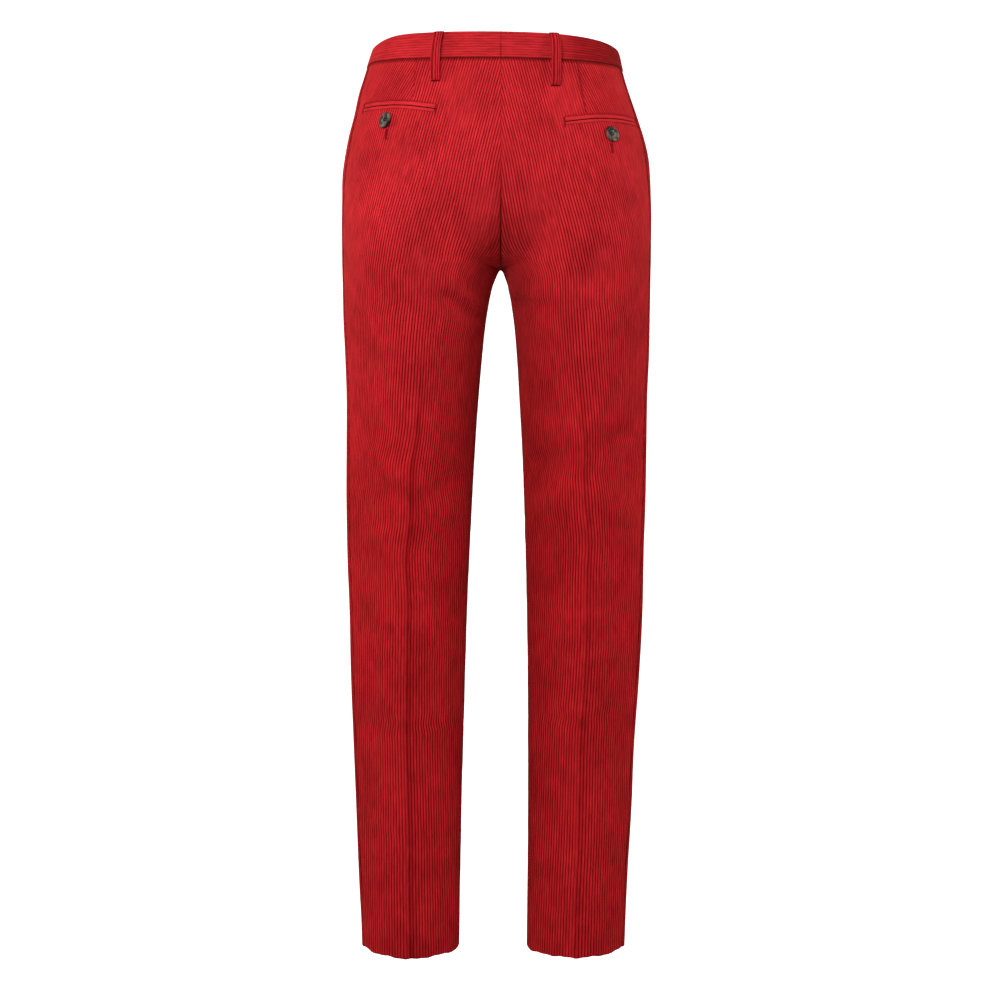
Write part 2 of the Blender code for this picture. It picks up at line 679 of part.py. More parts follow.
def main():
    """Clear the scene and make every piece."""
    for old in list(bpy.data.objects):
        bpy.data.objects.remove(old, do_unlink=True)
    for name, side in SIDES:
        leg_panels(name, side)
        waistband(name, side)
        belt_loops(name, side)
        pocket_jets(name, side)
        front_pocket_edge(name, side)
    fly()
    buttons()


main()
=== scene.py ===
"""Corduroy trousers, filled out as if worn, with nobody in them.

Metres, +Z up. The front faces -Y and the wearer's left is at +X. A place on one side of the garment is
(around, level): around is 0 at the side seam, 1 at the centre back seam or the inseam behind, and -1 at the
centre front seam or the inseam in front. Every piece of cloth is worked out from that one surface.
"""

import math

import bmesh
import bpy
import numpy as np
from bpy.props import FloatProperty, FloatVectorProperty, PointerProperty
from bpy.types import Operator, Panel, PropertyGroup
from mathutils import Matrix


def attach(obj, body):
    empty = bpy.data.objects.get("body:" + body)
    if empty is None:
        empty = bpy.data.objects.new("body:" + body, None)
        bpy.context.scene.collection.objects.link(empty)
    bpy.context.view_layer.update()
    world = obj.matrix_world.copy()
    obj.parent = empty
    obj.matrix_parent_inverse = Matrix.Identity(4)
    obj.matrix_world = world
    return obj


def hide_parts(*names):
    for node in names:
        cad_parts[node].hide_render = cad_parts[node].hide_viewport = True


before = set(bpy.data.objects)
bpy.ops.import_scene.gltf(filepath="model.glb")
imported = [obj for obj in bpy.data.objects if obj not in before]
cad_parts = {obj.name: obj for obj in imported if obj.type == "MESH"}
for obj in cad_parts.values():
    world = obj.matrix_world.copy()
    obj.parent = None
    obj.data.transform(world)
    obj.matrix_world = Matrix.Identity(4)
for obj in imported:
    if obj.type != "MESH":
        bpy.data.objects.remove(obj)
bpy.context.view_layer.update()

bl_info = {
    "name": "Corduroy Trousers",
    "version": (1, 0, 0),
    "blender": (4, 5, 0),
    "location": "View3D > Sidebar > Trousers",
    "description": "Sews a pair of corduroy trousers and lights them",
    "category": "Add Mesh",
}

# Levels
WAIST_SEAM = -0.0142
FORK_TOP = -0.139
SEAT_TURN = -0.050
CROTCH = -0.2495
ARCH_HEIGHT = 0.060
ARCH_SOFTNESS = 0.030
ARCH_FADE = 0.30
HEM = -1.063
HEM_TURNING = 0.035
SLANT = 3.0
FORK_NEAR = 0.90

# Cloth
PANEL_THICKNESS = 0.0016
HEM_THICKNESS = 0.0030
TURNING_FADE = 0.002
REST_GAP = 0.0005

# The least step, cell and length that still count as more than nothing
LEAST_STEP = 1e-9
LEAST_CELL = 1e-6
LEAST_LENGTH = 1e-12

# How far apart rows are laid to be read as one line, and the step over which slopes are measured
ROWS_APART = 10.0
SLOPE_STEP = 0.002

# Where the side seam and the pressed creases run, as angles of a ring from its outer side
SIDE_SEAM = math.radians(16.0)
QUARTER = math.pi / 2
CREASE_SPREAD = math.radians(14.0)
CREASE_BACK = (QUARTER - SIDE_SEAM) / (math.pi - SIDE_SEAM)
CREASE_FRONT = -(QUARTER + SIDE_SEAM) / (math.pi + SIDE_SEAM)
CLEFT_SPREAD = 0.030

# Waistband and its tab
BAND_PROUD = 0.0008
BAND_THICKNESS = 0.0034
BAND_HEIGHT = 0.031
BAND_AROUND = np.concatenate([
    [-1.0, -0.995, -0.985],
    np.linspace(-0.97, 0.97, 98),
    [0.985, 0.993, 0.998, 1.0],
])
BAND_WALES = 10
BAND_INNER_STEPS = 9
BAND_LINE = 4
BAND_ROLL = 0.0016
BAND_INNER_ROLL = 0.0010
BAND_SOFTNESS = 0.5
BAND_SEAM_SHADE = 0.5
TAB_LENGTH = 0.045
TAB_STEPS = 26
TAB_LIFT = 0.0037
TAB_BEND = 0.024

# The waistband's ends: over what length they thin out, by how much outside and inside, and their shade
BAND_END = 0.008
BAND_END_OUTER = 0.0008
BAND_END_INNER = 0.0004
BAND_END_SHADE = 0.6
BAND_END_TOP = 0.55
BAND_FACE = -0.0005

# Painted shade on the waistband: a little everywhere, and more on the right half between two soft ends
BAND_PAINTED_SHADE = 0.1
BAND_RIGHT_PAINTED_SHADE = 0.65
BAND_SHADE_BACK = (0.72, 0.3)
BAND_SHADE_FRONT = (-0.3, 0.4)

# Belt loops
LOOP_WIDTH = 0.0115
LOOP_THICKNESS = 0.0022
LOOP_STANDOFF = 0.0066
LOOP_FULLNESS = 0.55
LOOP_SETBACK = 0.0006
LOOP_STEP_DOWN = 0.004
LOOP_BOW = 0.0009
LOOP_SUNK = 0.0004
LOOP_MEAN_RISE = 0.4
# Painted shade in the loops' stitch grooves, and a little over each whole loop
LOOP_GROOVE_SHADE = 1.2
LOOP_PAINTED_SHADE = 0.22
LOOP_STEPS = 49
LOOP_SECTION = {
    "across": np.array([
        -0.5, -0.485, -0.43, -0.36, -0.325, -0.29, -0.22, -0.13, -0.075, -0.02,
        0.075, 0.165, 0.2, 0.235, 0.29, 0.325, 0.36, 0.43, 0.485, 0.5,
    ]),
    "rise": np.array([
        0.1, 0.6, 1.0, 0.9, -0.4, 0.7, 1.0, 0.8, 0.0, 0.8,
        1.0, 0.75, 0.0, 0.6, 0.5, -0.4, 0.9, 1.0, 0.6, 0.1,
    ]),
    "under": np.linspace(0.47, -0.47, 5),
}

# Back pockets
JET_HEIGHTS = {"upper": 0.0036, "lower": 0.0048}
JET_FULLER = {"upper": 0.0005, "lower": -0.0003}
JET_STEPS = 81
JET_TURN = np.linspace(0.0, math.pi, 17)
JET_UNDER = np.linspace(-0.9, 0.9, 4)
JET_SLIT = 0.0010
JET_LEAN = 0.25
JET_ROUNDNESS = 0.45
JET_SUNK = 0.0004
JET_TAPER = 0.45
JET_TAPER_STEPS = 3
# Painted shade on each jet's lip along the slit
JET_LIP = 0.5
JET_LIP_SHADE = 0.9

# How a back pocket presses the panel: along its slit, in the ridge above it and along its stitches, with
# painted shade in the slit and along the stitches
SLIT_FADE = 0.002
PRESS_DEPTH = 0.0014
PRESS_SPREAD = 0.0016
PRESS_RIDGE = 0.0006
RIDGE_ABOVE = 0.0019
RIDGE_FLAT = 0.6
STITCH_ABOVE = 0.0003
STITCH_SPREAD = 0.0008
STITCH_DEPTH = 0.0004
STITCH_SHADE = 0.5
COVER_INSET = 0.0008
COVER_FADE = 0.001

# Front pocket edges and fly
EDGE_WIDTH = 0.009
EDGE_TOP = -0.27
EDGE_FOOT = -0.045
EDGE_FOOT_LEVEL = -0.185
EDGE_STEP = 0.01
EDGE_ROWS = 45
EDGE_COLUMNS = 25
EDGE_TOP_ROLL = (0.1, 0.0005)
EDGE_FOOT_ROLL = 0.007
EDGE_THIN = 0.1
EDGE_THINS = 0.4
FLY_WIDTH = 0.036
FLY_OVERLAP = 0.008
FLY_FOOT = -0.176
FLY_CURVE = 0.045
FLY_ROUNDNESS = 0.94
FLY_LENGTH = 0.15
FLY_ROWS = 42
FLY_COLUMNS = 91
STRIP_THICKNESS = 0.0014
STRIP_ROLL = 0.0014

# Stitches, and the bars of satin stitches: the tacks at the ends of a slit and the buttonhole below it
STITCH_STEPS = 7
STITCH_SIDES = 6
STITCH_TIP = 0.08
THREAD_RADIUS = 0.00030
SATIN_PITCH = 0.00055
SATIN_STAGGER = 0.00012
SATIN_LIFT = 0.0005
SATIN_REST = 0.0010
TACKS = ((0, -0.0008, 0.0120), (-1, 0.0004, 0.0115))
TACK_DROP = 0.0006
TACK_WIDTH = 0.0016
BUTTONHOLE = (
    (-0.0005, 0.0160, 0.0115, 0.0008),
    (0.0005, 0.0160, 0.0115, 0.0008),
    (0.0, 0.0218, 0.0009, 0.0020),
)

# Buttons
BUTTON_REST = 0.0004
BUTTON_RADIUS = 0.0095
BUTTON_RADII = np.concatenate([np.linspace(0.00012, 0.0040, 22), np.linspace(0.0043, BUTTON_RADIUS, 18)])
BUTTON_STEPS = 72
BUTTON_LEANS = {"left": math.radians(14.0), "right": math.radians(2.0)}
BUTTON_LEAN_LIFT = 0.8
WAIST_BUTTON_INSET = 0.032
BUTTON_TURN = 0.4 + math.pi / 4
BUTTON_HOLE_REACH = 0.00175
BUTTON_HOLE_RADIUS = 0.00105
BUTTON_HOLE_DEPTH = 0.00125
BUTTON_HOLE_WALL = 0.48
BUTTON_HOLES = [
    BUTTON_HOLE_REACH * np.array([math.cos(spot), math.sin(spot)])
    for spot in BUTTON_TURN + QUARTER * np.arange(4)
]

# The strands of thread over a button: how far apart they lie, where they start and how high they rise
STRAND_RADIUS = 0.00022
STRAND_APART = 0.00032
STRAND_REST = 0.0010
STRAND_LIFT = 0.0011
STRAND_CROWN = 0.0001

LEFT = 1.0
RIGHT = -1.0
SIDES = (("left", LEFT), ("right", RIGHT))
FACES = {"back": 1.0, "front": -1.0}
TRIALS = 161

# Four points across each wale: how far across it they lie and how high they stand
WALE_PLACES = np.array([0.0, 0.24, 0.50, 0.76])
WALE_RISE = np.array([0.0, 0.80, 1.0, 0.80])
LEG_TALLER = 0.30

# The rise that marks plain cloth inside, and the rise shown along the centre seams as far down as a row
INSIDE = -1.0
CENTRE_RISE = 0.6
CENTRE_END = 1.4

# How a seam's edge rolls in: over what distance and how deep, and how little of it shows down the seat;
# the roll also sets painted shade along the seam
SEAM_ROLL = 0.0020
SEAM_SINK = 0.0007
WAIST_ROLL = 0.0008
SEAT_FIRM = 0.06
FIRM_JOIN = (0.9, 0.5)

# Painted shade: on the front panels beside the side seams, and along the inner seams
SIDE_PAINTED_SHADE = 0.65
SIDE_LESS = 0.5
SIDE_WIDTH = 0.015
INNER_PAINTED_SHADE = 0.50
INNER_WIDTH = 0.022

# Pile pressed flat along the creases, with painted shade on one side of each crease and a painted
# highlight on the other
PRESS_TOP = -0.350
PRESS_FADE = 0.09
PRESS_WIDTH = 0.0070
PRESS_FLAT = 0.6
PRESS_EDGE = 0.0012
PRESS_PAINTED_SHADE = {LEFT: 0.50, RIGHT: 0.28}
PRESS_PAINTED_HIGHLIGHT = 0.55

# Pile worn flat on the back panels: outwards from a share of the width, less so down the rows; and over
# the whole seat
WORN_FROM = 0.66
WORN_OVER = 0.24
WORN_ROWS = (0.0, 2.0, 2.8, 3.2)
WORN_SHARES = (1.0, 0.9, 0.5, 0.1)
SEAT_WORN = 0.22
SEAT_WORN_END = 0.9

# Crushed pile: two pairs of waves over the cloth, each by its pace across, its pace down and its start
CRUSH_WAVES = (((61, 9, 1.3), (-17, 24, 0.7)), ((29, 43, 0.0), (71, -11, 0.0)))
CRUSH_OFFSET = 0.013
CRUSH_SMALL = 0.7
CRUSH_FROM = 0.05
CRUSH_RANGE = 0.9
PATCHY_SEAT = 0.75
PATCHY_LESS = 0.45

# What crushing does: how much of the wales' height it takes, and how far it evens their colour out
CRUSH_LOSS = 0.65
CRUSH_TONE = 0.75
EVEN_RISE = 0.75
FLAT_TONE = 0.5

# The hem's turned edge: how far it rolls in, waves, lifts at its corners and drops behind. Each ripple is
# its height, its turns round the leg and where it starts.
HEM_ROLL = 0.0016
HEM_ROWS = 0.03
HEM_WAVE = 0.0005
HEM_MEAN = 1.6
HEM_RIPPLES = ((1.0, 27, 1), (0.6, 61, -2))
HEM_CORNER = 0.0026
HEM_OUTER_CORNER = 0.14
HEM_INNER_CORNER = 0.12
HEM_DROP = 0.0030
HEM_LOWEST = {LEFT: 1.0, RIGHT: 0.55}

# Painted shade over the hem's turning, a faint step in tone: how far above the edge, how soft and how
# dark below it
HEM_STEP_ABOVE = 0.021
HEM_STEP_FADE = 0.004
HEM_PAINTED_SHADE = 0.10

# The rows of a leg panel: 0 to 1 down the seat, 1 to 2 where it turns under, 2 to 3 past the arch, 3 to 4
# down the leg. They lie closer together behind, where the pockets are.
SEAT_ROWS = {
    "back": (
        np.linspace(0.0, 0.32, 9)[:-1],
        np.linspace(0.32, 0.67, 34)[:-1],
        np.linspace(0.67, 1.0, 9)[:-1],
    ),
    "front": (np.linspace(0.0, 1.0, 28)[:-1],),
}
LEG_ROWS = (
    np.linspace(1.0, 2.0, 27)[:-1],
    np.linspace(2.0, 3.0, 15)[:-1],
    np.linspace(3.0, 3.994, 150),
    np.array([3.9962, 3.9980, 3.9992, 4.0]),
)
LINING_STEP = 2
LINING_COLUMNS = 45

# Finishes: how fine their noises are, between which shades and levels the cloth darkens, and how much
NOISE_ROUGHNESS = 0.55
NAP_STRETCH = (330.0, 45.0, 1.0)
TUFT_STRETCH = (900.0, 1500.0, 1.0)
PATCH_SCALE = 20.0
FIBRE_SCALE = 2600.0
TWIST_SCALE = 2200.0
STREAK_SCALE = 200.0
STREAK_STRETCH = (1.0, 0.6, 0.5)
PIT_SCALE = 900.0
SHADE_RANGE = (-0.4, 1.0)
LOWER_RANGE = (-0.20, -0.50)
NAP_TONES = (0.78, 1.22)
PATCH_TONES = (0.84, 1.16)
TUFT_TONES = (0.80, 1.18)
SHADE_TONES = (1.26, 0.35)
TWIST_TONES = (0.75, 1.2)
LOWER_SHADE_POWERS = (1.03, 1.12)
SHADE_POWERS = (-0.04, 0.10)
GROOVE_END = 0.12
STREAK_ENDS = (0.46, 0.62)

# Studio: the floor and the backdrop it curves up into, each light's place and size, and the camera
FLOOR_REACH = 6.0
FLOOR_BACK = 2.5
FLOOR_RADIUS = 1.2
FLOOR_STEPS = 17
WALL_HEIGHT = 5.0
GLOW_ENDS = (-0.5, -0.25)
LIGHTS = (
    ("key", (1.75, 0.47, 0.45), 0.8),
    ("fill", (-1.70, 0.62, 0.45), 0.9),
    ("front", (0.3, 1.5, 0.35), 0.7),
)
LIGHT_AIM = (0.0, 0.0, -0.50)
EYE = (0.00108, 3.0, -0.526)
LENS = 90.0
SENSOR_WIDTH = 36.0


def table(names, *rows):
    """Give a table of rows as one array for each named column."""
    return dict(zip(names.split(), np.array(rows, dtype=float).T))


# Half width to each side, and the places along Y of the back, the front and the widest line
SECTIONS = table(
    "level   left    right    back     front  centre",
    (0.018, 0.1510, 0.1350, 0.1050, -0.1050, 0.000),
    (0.008, 0.1545, 0.1405, 0.1065, -0.1055, 0.000),
    (-0.006, 0.1591, 0.1441, 0.1090, -0.1065, 0.000),
    (-0.020, 0.1630, 0.1469, 0.1120, -0.1075, 0.001),
    (-0.040, 0.1693, 0.1529, 0.1175, -0.1090, 0.002),
    (-0.065, 0.1747, 0.1614, 0.1245, -0.1110, 0.003),
    (-0.090, 0.1807, 0.1693, 0.1310, -0.1130, 0.004),
    (-0.115, 0.1850, 0.1748, 0.1365, -0.1150, 0.005),
    (-0.140, 0.1884, 0.1773, 0.1400, -0.1165, 0.005),
    (-0.170, 0.1898, 0.1793, 0.1420, -0.1170, 0.005),
    (-0.200, 0.1902, 0.1796, 0.1410, -0.1170, 0.004),
    (-0.225, 0.1897, 0.1793, 0.1360, -0.1165, 0.003),
    (-0.250, 0.1893, 0.1787, 0.1285, -0.1150, 0.002),
    (-0.280, 0.1886, 0.1782, 0.1210, -0.1125, 0.001),
    (-0.310, 0.1880, 0.1777, 0.1150, -0.1100, 0.000),
    (-0.350, 0.1862, 0.1772, 0.1080, -0.1060, -0.001),
    (-0.400, 0.1845, 0.1751, 0.1005, -0.1005, -0.002),
    (-0.460, 0.1846, 0.1741, 0.0925, -0.0940, -0.003),
    (-0.520, 0.1849, 0.1732, 0.0855, -0.0870, -0.004),
    (-0.590, 0.1838, 0.1709, 0.0795, -0.0800, -0.004),
    (-0.660, 0.1811, 0.1693, 0.0765, -0.0740, -0.002),
    (-0.740, 0.1790, 0.1649, 0.0755, -0.0680, 0.001),
    (-0.820, 0.1757, 0.1589, 0.0730, -0.0630, 0.003),
    (-0.900, 0.1724, 0.1556, 0.0700, -0.0595, 0.004),
    (-0.980, 0.1692, 0.1507, 0.0670, -0.0575, 0.004),
    (-1.040, 0.1662, 0.1481, 0.0650, -0.0580, 0.003),
    (-1.063, 0.1655, 0.1474, 0.0645, -0.0585, 0.003),
)

# How square the seat's ring is, and how deep its hollow is along the centre back seam
SEAT_FORM = table(
    "level  square  cleft",
    (0.018, 0.030, 0.000),
    (-0.020, 0.028, 0.000),
    (-0.065, 0.022, 0.001),
    (-0.115, 0.016, 0.003),
    (-0.170, 0.012, 0.006),
    (-0.250, 0.012, 0.008),
)

# How square each leg's ring is, how high its creases stand, and how wide the gap between the legs opens:
# half of it is spread times the square root of the drop below the crotch. The crease behind runs a few
# degrees further in than the middle of the leg, by its turn.
LEG_FORM = table(
    "level  square  crease  spread_left  spread_right  turn_left  turn_right",
    (-0.139, 0.012, 0.0000, 0.0728, 0.0630, 10.0, 10.0),
    (-0.250, 0.010, 0.0003, 0.0728, 0.0630, 10.0, 10.0),
    (-0.310, -0.008, 0.0010, 0.0746, 0.0642, 10.0, 10.0),
    (-0.350, -0.025, 0.0018, 0.0718, 0.0612, 9.5, 9.0),
    (-0.400, -0.045, 0.0036, 0.0699, 0.0581, 8.5, 7.5),
    (-0.460, -0.060, 0.0050, 0.0683, 0.0565, 6.2, 5.5),
    (-0.520, -0.068, 0.0056, 0.0669, 0.0543, 3.0, 3.5),
    (-0.590, -0.072, 0.0058, 0.0655, 0.0519, 0.0, 1.5),
    (-0.660, -0.074, 0.0058, 0.0643, 0.0495, 0.0, 1.2),
    (-0.740, -0.074, 0.0058, 0.0622, 0.0466, 0.0, 3.0),
    (-0.820, -0.072, 0.0056, 0.0607, 0.0436, 0.0, 5.0),
    (-0.900, -0.067, 0.0054, 0.0593, 0.0409, 0.0, 6.0),
    (-0.980, -0.060, 0.0050, 0.0577, 0.0378, 0.0, 6.0),
    (-1.063, -0.052, 0.0040, 0.0562, 0.0350, 0.0, 6.0),
)

# The waistband's top edge and lower seam round each side
BAND_EDGES = table(
    "around top_left top_right seam_left seam_right",
    (1.0, 0.0170, 0.0170, -0.0142, -0.0142),
    (0.6, 0.0180, 0.0155, -0.0128, -0.0150),
    (0.3, 0.0182, 0.0128, -0.0105, -0.0145),
    (0.0, 0.0130, 0.0098, -0.0080, -0.0125),
    (-0.3, 0.0105, 0.0090, -0.0130, -0.0150),
    (-0.6, 0.0085, 0.0080, -0.0200, -0.0210),
    (-1.0, 0.0070, 0.0070, -0.0250, -0.0250),
)

# Folds: a soft ridge or trough between two places, each given by X and level
FOLD_FADE = 3.0
FOLDS = (
    ("back", table(
        "x_start  z_start  x_end  z_end  half_width  height",
        (0.060, -0.279, 0.030, -0.298, 0.0085, 0.0039),
        (0.070, -0.289, 0.038, -0.305, 0.0085, -0.0036),
        (0.066, -0.312, 0.036, -0.322, 0.0110, 0.0023),
        (-0.012, -0.277, -0.044, -0.290, 0.0085, 0.0031),
        (-0.016, -0.291, -0.052, -0.303, 0.0090, -0.0031),
        (-0.017, -0.155, -0.040, -0.120, 0.0120, 0.0022),
        (-0.004, -0.045, -0.046, -0.060, 0.0120, -0.0020),
        (-0.026, -0.492, -0.056, -0.476, 0.0110, -0.0048),
        (-0.052, -0.528, -0.094, -0.490, 0.0130, 0.0042),
        (-0.034, -0.566, -0.070, -0.530, 0.0120, 0.0034),
        (-0.108, -0.464, -0.142, -0.450, 0.0120, -0.0042),
        (-0.112, -0.520, -0.150, -0.548, 0.0140, 0.0036),
        (0.150, -0.474, 0.118, -0.500, 0.0130, 0.0034),
        (0.142, -0.512, 0.108, -0.534, 0.0120, -0.0026),
        (0.052, -0.500, 0.086, -0.522, 0.0130, -0.0030),
        (0.056, -0.540, 0.092, -0.554, 0.0130, 0.0026),
        (0.150, -0.562, 0.120, -0.586, 0.0140, 0.0028),
        (0.130, -0.626, 0.092, -0.630, 0.0070, -0.0015),
        (0.128, -0.668, 0.094, -0.672, 0.0075, 0.0016),
        (0.122, -0.704, 0.096, -0.710, 0.0070, -0.0015),
        (0.136, -0.771, 0.111, -0.787, 0.0080, 0.0013),
        (0.110, -0.787, 0.084, -0.776, 0.0080, 0.0013),
        (0.134, -0.786, 0.110, -0.801, 0.0080, -0.0011),
        (0.108, -0.801, 0.084, -0.791, 0.0080, -0.0011),
        (0.146, -0.906, 0.122, -0.912, 0.0090, 0.0016),
        (-0.068, -0.764, -0.096, -0.780, 0.0080, 0.0012),
        (-0.098, -0.780, -0.122, -0.764, 0.0080, 0.0012),
        (-0.070, -0.780, -0.096, -0.795, 0.0080, -0.0010),
        (-0.080, -0.648, -0.116, -0.652, 0.0070, -0.0015),
        (-0.082, -0.668, -0.112, -0.664, 0.0070, 0.0015),
        (-0.078, -0.696, -0.108, -0.700, 0.0075, -0.0015),
        (-0.080, -0.720, -0.112, -0.716, 0.0070, 0.0014),
        (0.120, -1.006, 0.080, -1.012, 0.0090, -0.0011),
        (0.146, -1.030, 0.112, -1.034, 0.0080, 0.0011),
        (-0.060, -1.008, -0.094, -1.014, 0.0090, -0.0011),
        (-0.100, -1.030, -0.130, -1.026, 0.0080, 0.0011),
    )),
    ("front", table(
        "x_start  z_start  x_end  z_end  half_width  height",
        (0.010, -0.258, 0.060, -0.232, 0.0110, 0.0030),
        (0.012, -0.278, 0.066, -0.262, 0.0110, -0.0026),
        (-0.010, -0.257, -0.056, -0.230, 0.0110, 0.0030),
        (-0.012, -0.279, -0.064, -0.264, 0.0110, -0.0026),
        (0.052, -0.552, 0.090, -0.566, 0.0140, 0.0024),
        (0.150, -0.530, 0.122, -0.556, 0.0140, -0.0024),
        (-0.048, -0.546, -0.082, -0.562, 0.0140, 0.0024),
        (-0.146, -0.536, -0.116, -0.560, 0.0140, -0.0024),
        (0.126, -0.640, 0.092, -0.644, 0.0080, -0.0009),
        (-0.082, -0.652, -0.114, -0.656, 0.0080, -0.0009),
    )),
)

# How far from the middle the grain line runs at each row, until it joins the crease. Behind it leans in
# towards the waist, so the wales run up to the centre seam at a slant and meet it in a chevron. The last
# column is how wide the wales lie there.
GRAIN = table(
    "row   back_left  back_right  front_left  front_right  spread",
    (0.00, 0.0235, 0.0190, 0.092, 0.084, 0.96),
    (1.00, 0.0565, 0.0515, 0.097, 0.090, 1.00),
    (2.00, 0.0835, 0.0780, 0.099, 0.094, 1.04),
    (3.00, 0.0900, 0.0850, 0.101, 0.096, 1.04),
    (3.25, 0.0900, 0.0850, 0.101, 0.096, 1.14),
    (3.50, 0.0900, 0.0850, 0.101, 0.096, 1.20),
    (4.00, 0.0900, 0.0850, 0.101, 0.096, 1.22),
)
CREASE_JOIN = (2.2, 0.9)
SEAT_HOLD = 0.3
HOLD_END = (1.5, 0.9)

# Soft sways of the wales down each leg: the level of each, its share of the way from the inner seam to
# the outer one, half its height, half its width and how far it moves the wales
SWAYS = {
    "left": table(
        "level  share  half_height  half_width  shift",
        (-0.345, 0.30, 0.032, 0.30, 0.0018),
        (-0.440, 0.72, 0.024, 0.22, -0.0024),
        (-0.488, 0.60, 0.022, 0.26, 0.0026),
        (-0.520, 0.25, 0.024, 0.22, 0.0020),
        (-0.548, 0.74, 0.026, 0.24, -0.0028),
        (-0.596, 0.45, 0.024, 0.30, 0.0014),
        (-0.655, 0.60, 0.030, 0.40, -0.0010),
        (-0.800, 0.40, 0.050, 0.45, 0.0010),
        (-0.930, 0.60, 0.040, 0.45, -0.0008),
    ),
    "right": table(
        "level  share  half_height  half_width  shift",
        (-0.360, 0.65, 0.036, 0.30, -0.0016),
        (-0.462, 0.30, 0.026, 0.24, 0.0022),
        (-0.500, 0.72, 0.024, 0.26, -0.0026),
        (-0.540, 0.35, 0.026, 0.24, -0.0020),
        (-0.572, 0.66, 0.026, 0.26, 0.0024),
        (-0.640, 0.40, 0.032, 0.36, -0.0012),
        (-0.790, 0.60, 0.050, 0.45, -0.0010),
        (-0.940, 0.40, 0.040, 0.45, 0.0008),
    ),
}

# The back darts: how far they lie from the centre seam, how much cloth each takes up and how sharply it
# shows, both in its roll and in the painted shade along it
DART_ROOM = 0.016
DART_FULL = 0.003
DART_ROLL = 0.0018
DARTS = {
    "left": table("row reach width depth", (0.0, 0.0975, 0.015, 0.45), (0.42, 0.1020, 0.0, 0.45)),
    "right": table("row reach width depth", (0.0, 0.0880, 0.015, 0.85), (0.62, 0.1005, 0.0, 0.85)),
}

# Belt loops: the place round the side and the level of the lower end, for the back, side and front loop
LOOPS = {
    "left": table(
        "around_top  around_foot  foot",
        (0.6585, 0.6740, -0.0420),
        (-0.3600, -0.3600, -0.0480),
        (-0.7500, -0.7500, -0.0560),
    ),
    "right": table(
        "around_top  around_foot  foot",
        (0.6787, 0.7060, -0.0480),
        (-0.3600, -0.3600, -0.0490),
        (-0.7500, -0.7500, -0.0560),
    ),
}

# Back pocket slits: distance from the centre seam and level at the inner end, the middle and the outer end
POCKETS = {
    "left": table("x level", (0.0761, -0.0749), (0.1170, -0.0682), (0.1605, -0.0657)),
    "right": table("x level", (0.0740, -0.0902), (0.1160, -0.0839), (0.1583, -0.0814)),
}
BACK_BUTTONS = {"left": (0.1324, -0.0860), "right": (0.1281, -0.1022)}

# A button's turned profile: height of its face over its under side at each radius
BUTTON_FACE = table(
    "radius height",
    (0.0000, 0.00165),
    (0.0040, 0.00170),
    (0.0052, 0.00190),
    (0.0062, 0.00275),
    (0.0076, 0.00310),
    (0.0086, 0.00285),
    (0.0092, 0.00225),
    (0.0095, 0.0014),
)
BUTTON_BACK = table("radius height", (0.0090, 0.0006), (0.0072, 0.0001), (0.0035, 0.0), (0.0002, 0.0))


# The shape of the cloth


def read(rows, name, at):
    """Read a column between its rows, along a smooth curve through them.

    Between two rows it is the cubic that has their values and slopes. A row's slope is that of its
    neighbours.
    """
    key = next(iter(rows))
    order = np.argsort(rows[key])
    keys = rows[key][order]
    values = rows[name][order]
    slopes = np.gradient(values, keys)
    at = np.clip(at, keys[0], keys[-1])
    row = np.clip(np.searchsorted(keys, at) - 1, 0, len(keys) - 2)
    span = keys[row + 1] - keys[row]
    t = (at - keys[row]) / span
    start = (1 + 2 * t) * (1 - t) ** 2 * values[row] + t * (1 - t) ** 2 * span * slopes[row]
    end = t * t * (3 - 2 * t) * values[row + 1] - t * t * (1 - t) * span * slopes[row + 1]
    return start + end


def ease(share):
    """Turn a share into a soft step from 0 to 1: three times its square less twice its cube."""
    share = clamp(share)
    return share * share * (3 - 2 * share)


def unit(vectors):
    """Scale vectors to a length of 1."""
    return vectors / np.maximum(np.linalg.norm(vectors, axis=-1, keepdims=True), LEAST_LENGTH)


def clamp(values):
    """Hold values between 0 and 1."""
    return np.clip(values, 0.0, 1.0)


def fade(distance, width):
    """Give 1 at no distance, falling straight to 0 a width away."""
    return clamp(1.0 - distance / width)


def bell(distance, width):
    """Give the bell curve of a distance: e to the power of less the square of distance over width."""
    return np.exp(-(distance / width) ** 2)


def matched(*values):
    """Give numbers or arrays as float arrays of one shape."""
    return np.broadcast_arrays(*(np.asarray(value, float) for value in values))


def lengths(points):
    """Give how far along a run of points each one lies."""
    return np.concatenate([[0.0], np.cumsum(np.linalg.norm(np.diff(points, axis=0), axis=-1))])


def chart(across, along):
    """Give a grid's map of the grain: how far across the wales and how far along them each point lies."""
    return np.stack(np.broadcast_arrays(across, along), axis=-1)


def side_name(side):
    """Name the side that a sign stands for."""
    return "left" if side > 0 else "right"


def lookup(places, keys, values):
    """Read each row of values at that row's own places, each row's keys rising from left to right.

    The rows are laid end to end, far apart, and read as one long line.
    """
    apart = ROWS_APART * np.arange(len(keys))[:, None]
    values = np.broadcast_to(values, keys.shape)
    return np.interp((places + apart).ravel(), (keys + apart).ravel(), values.ravel()).reshape(places.shape)


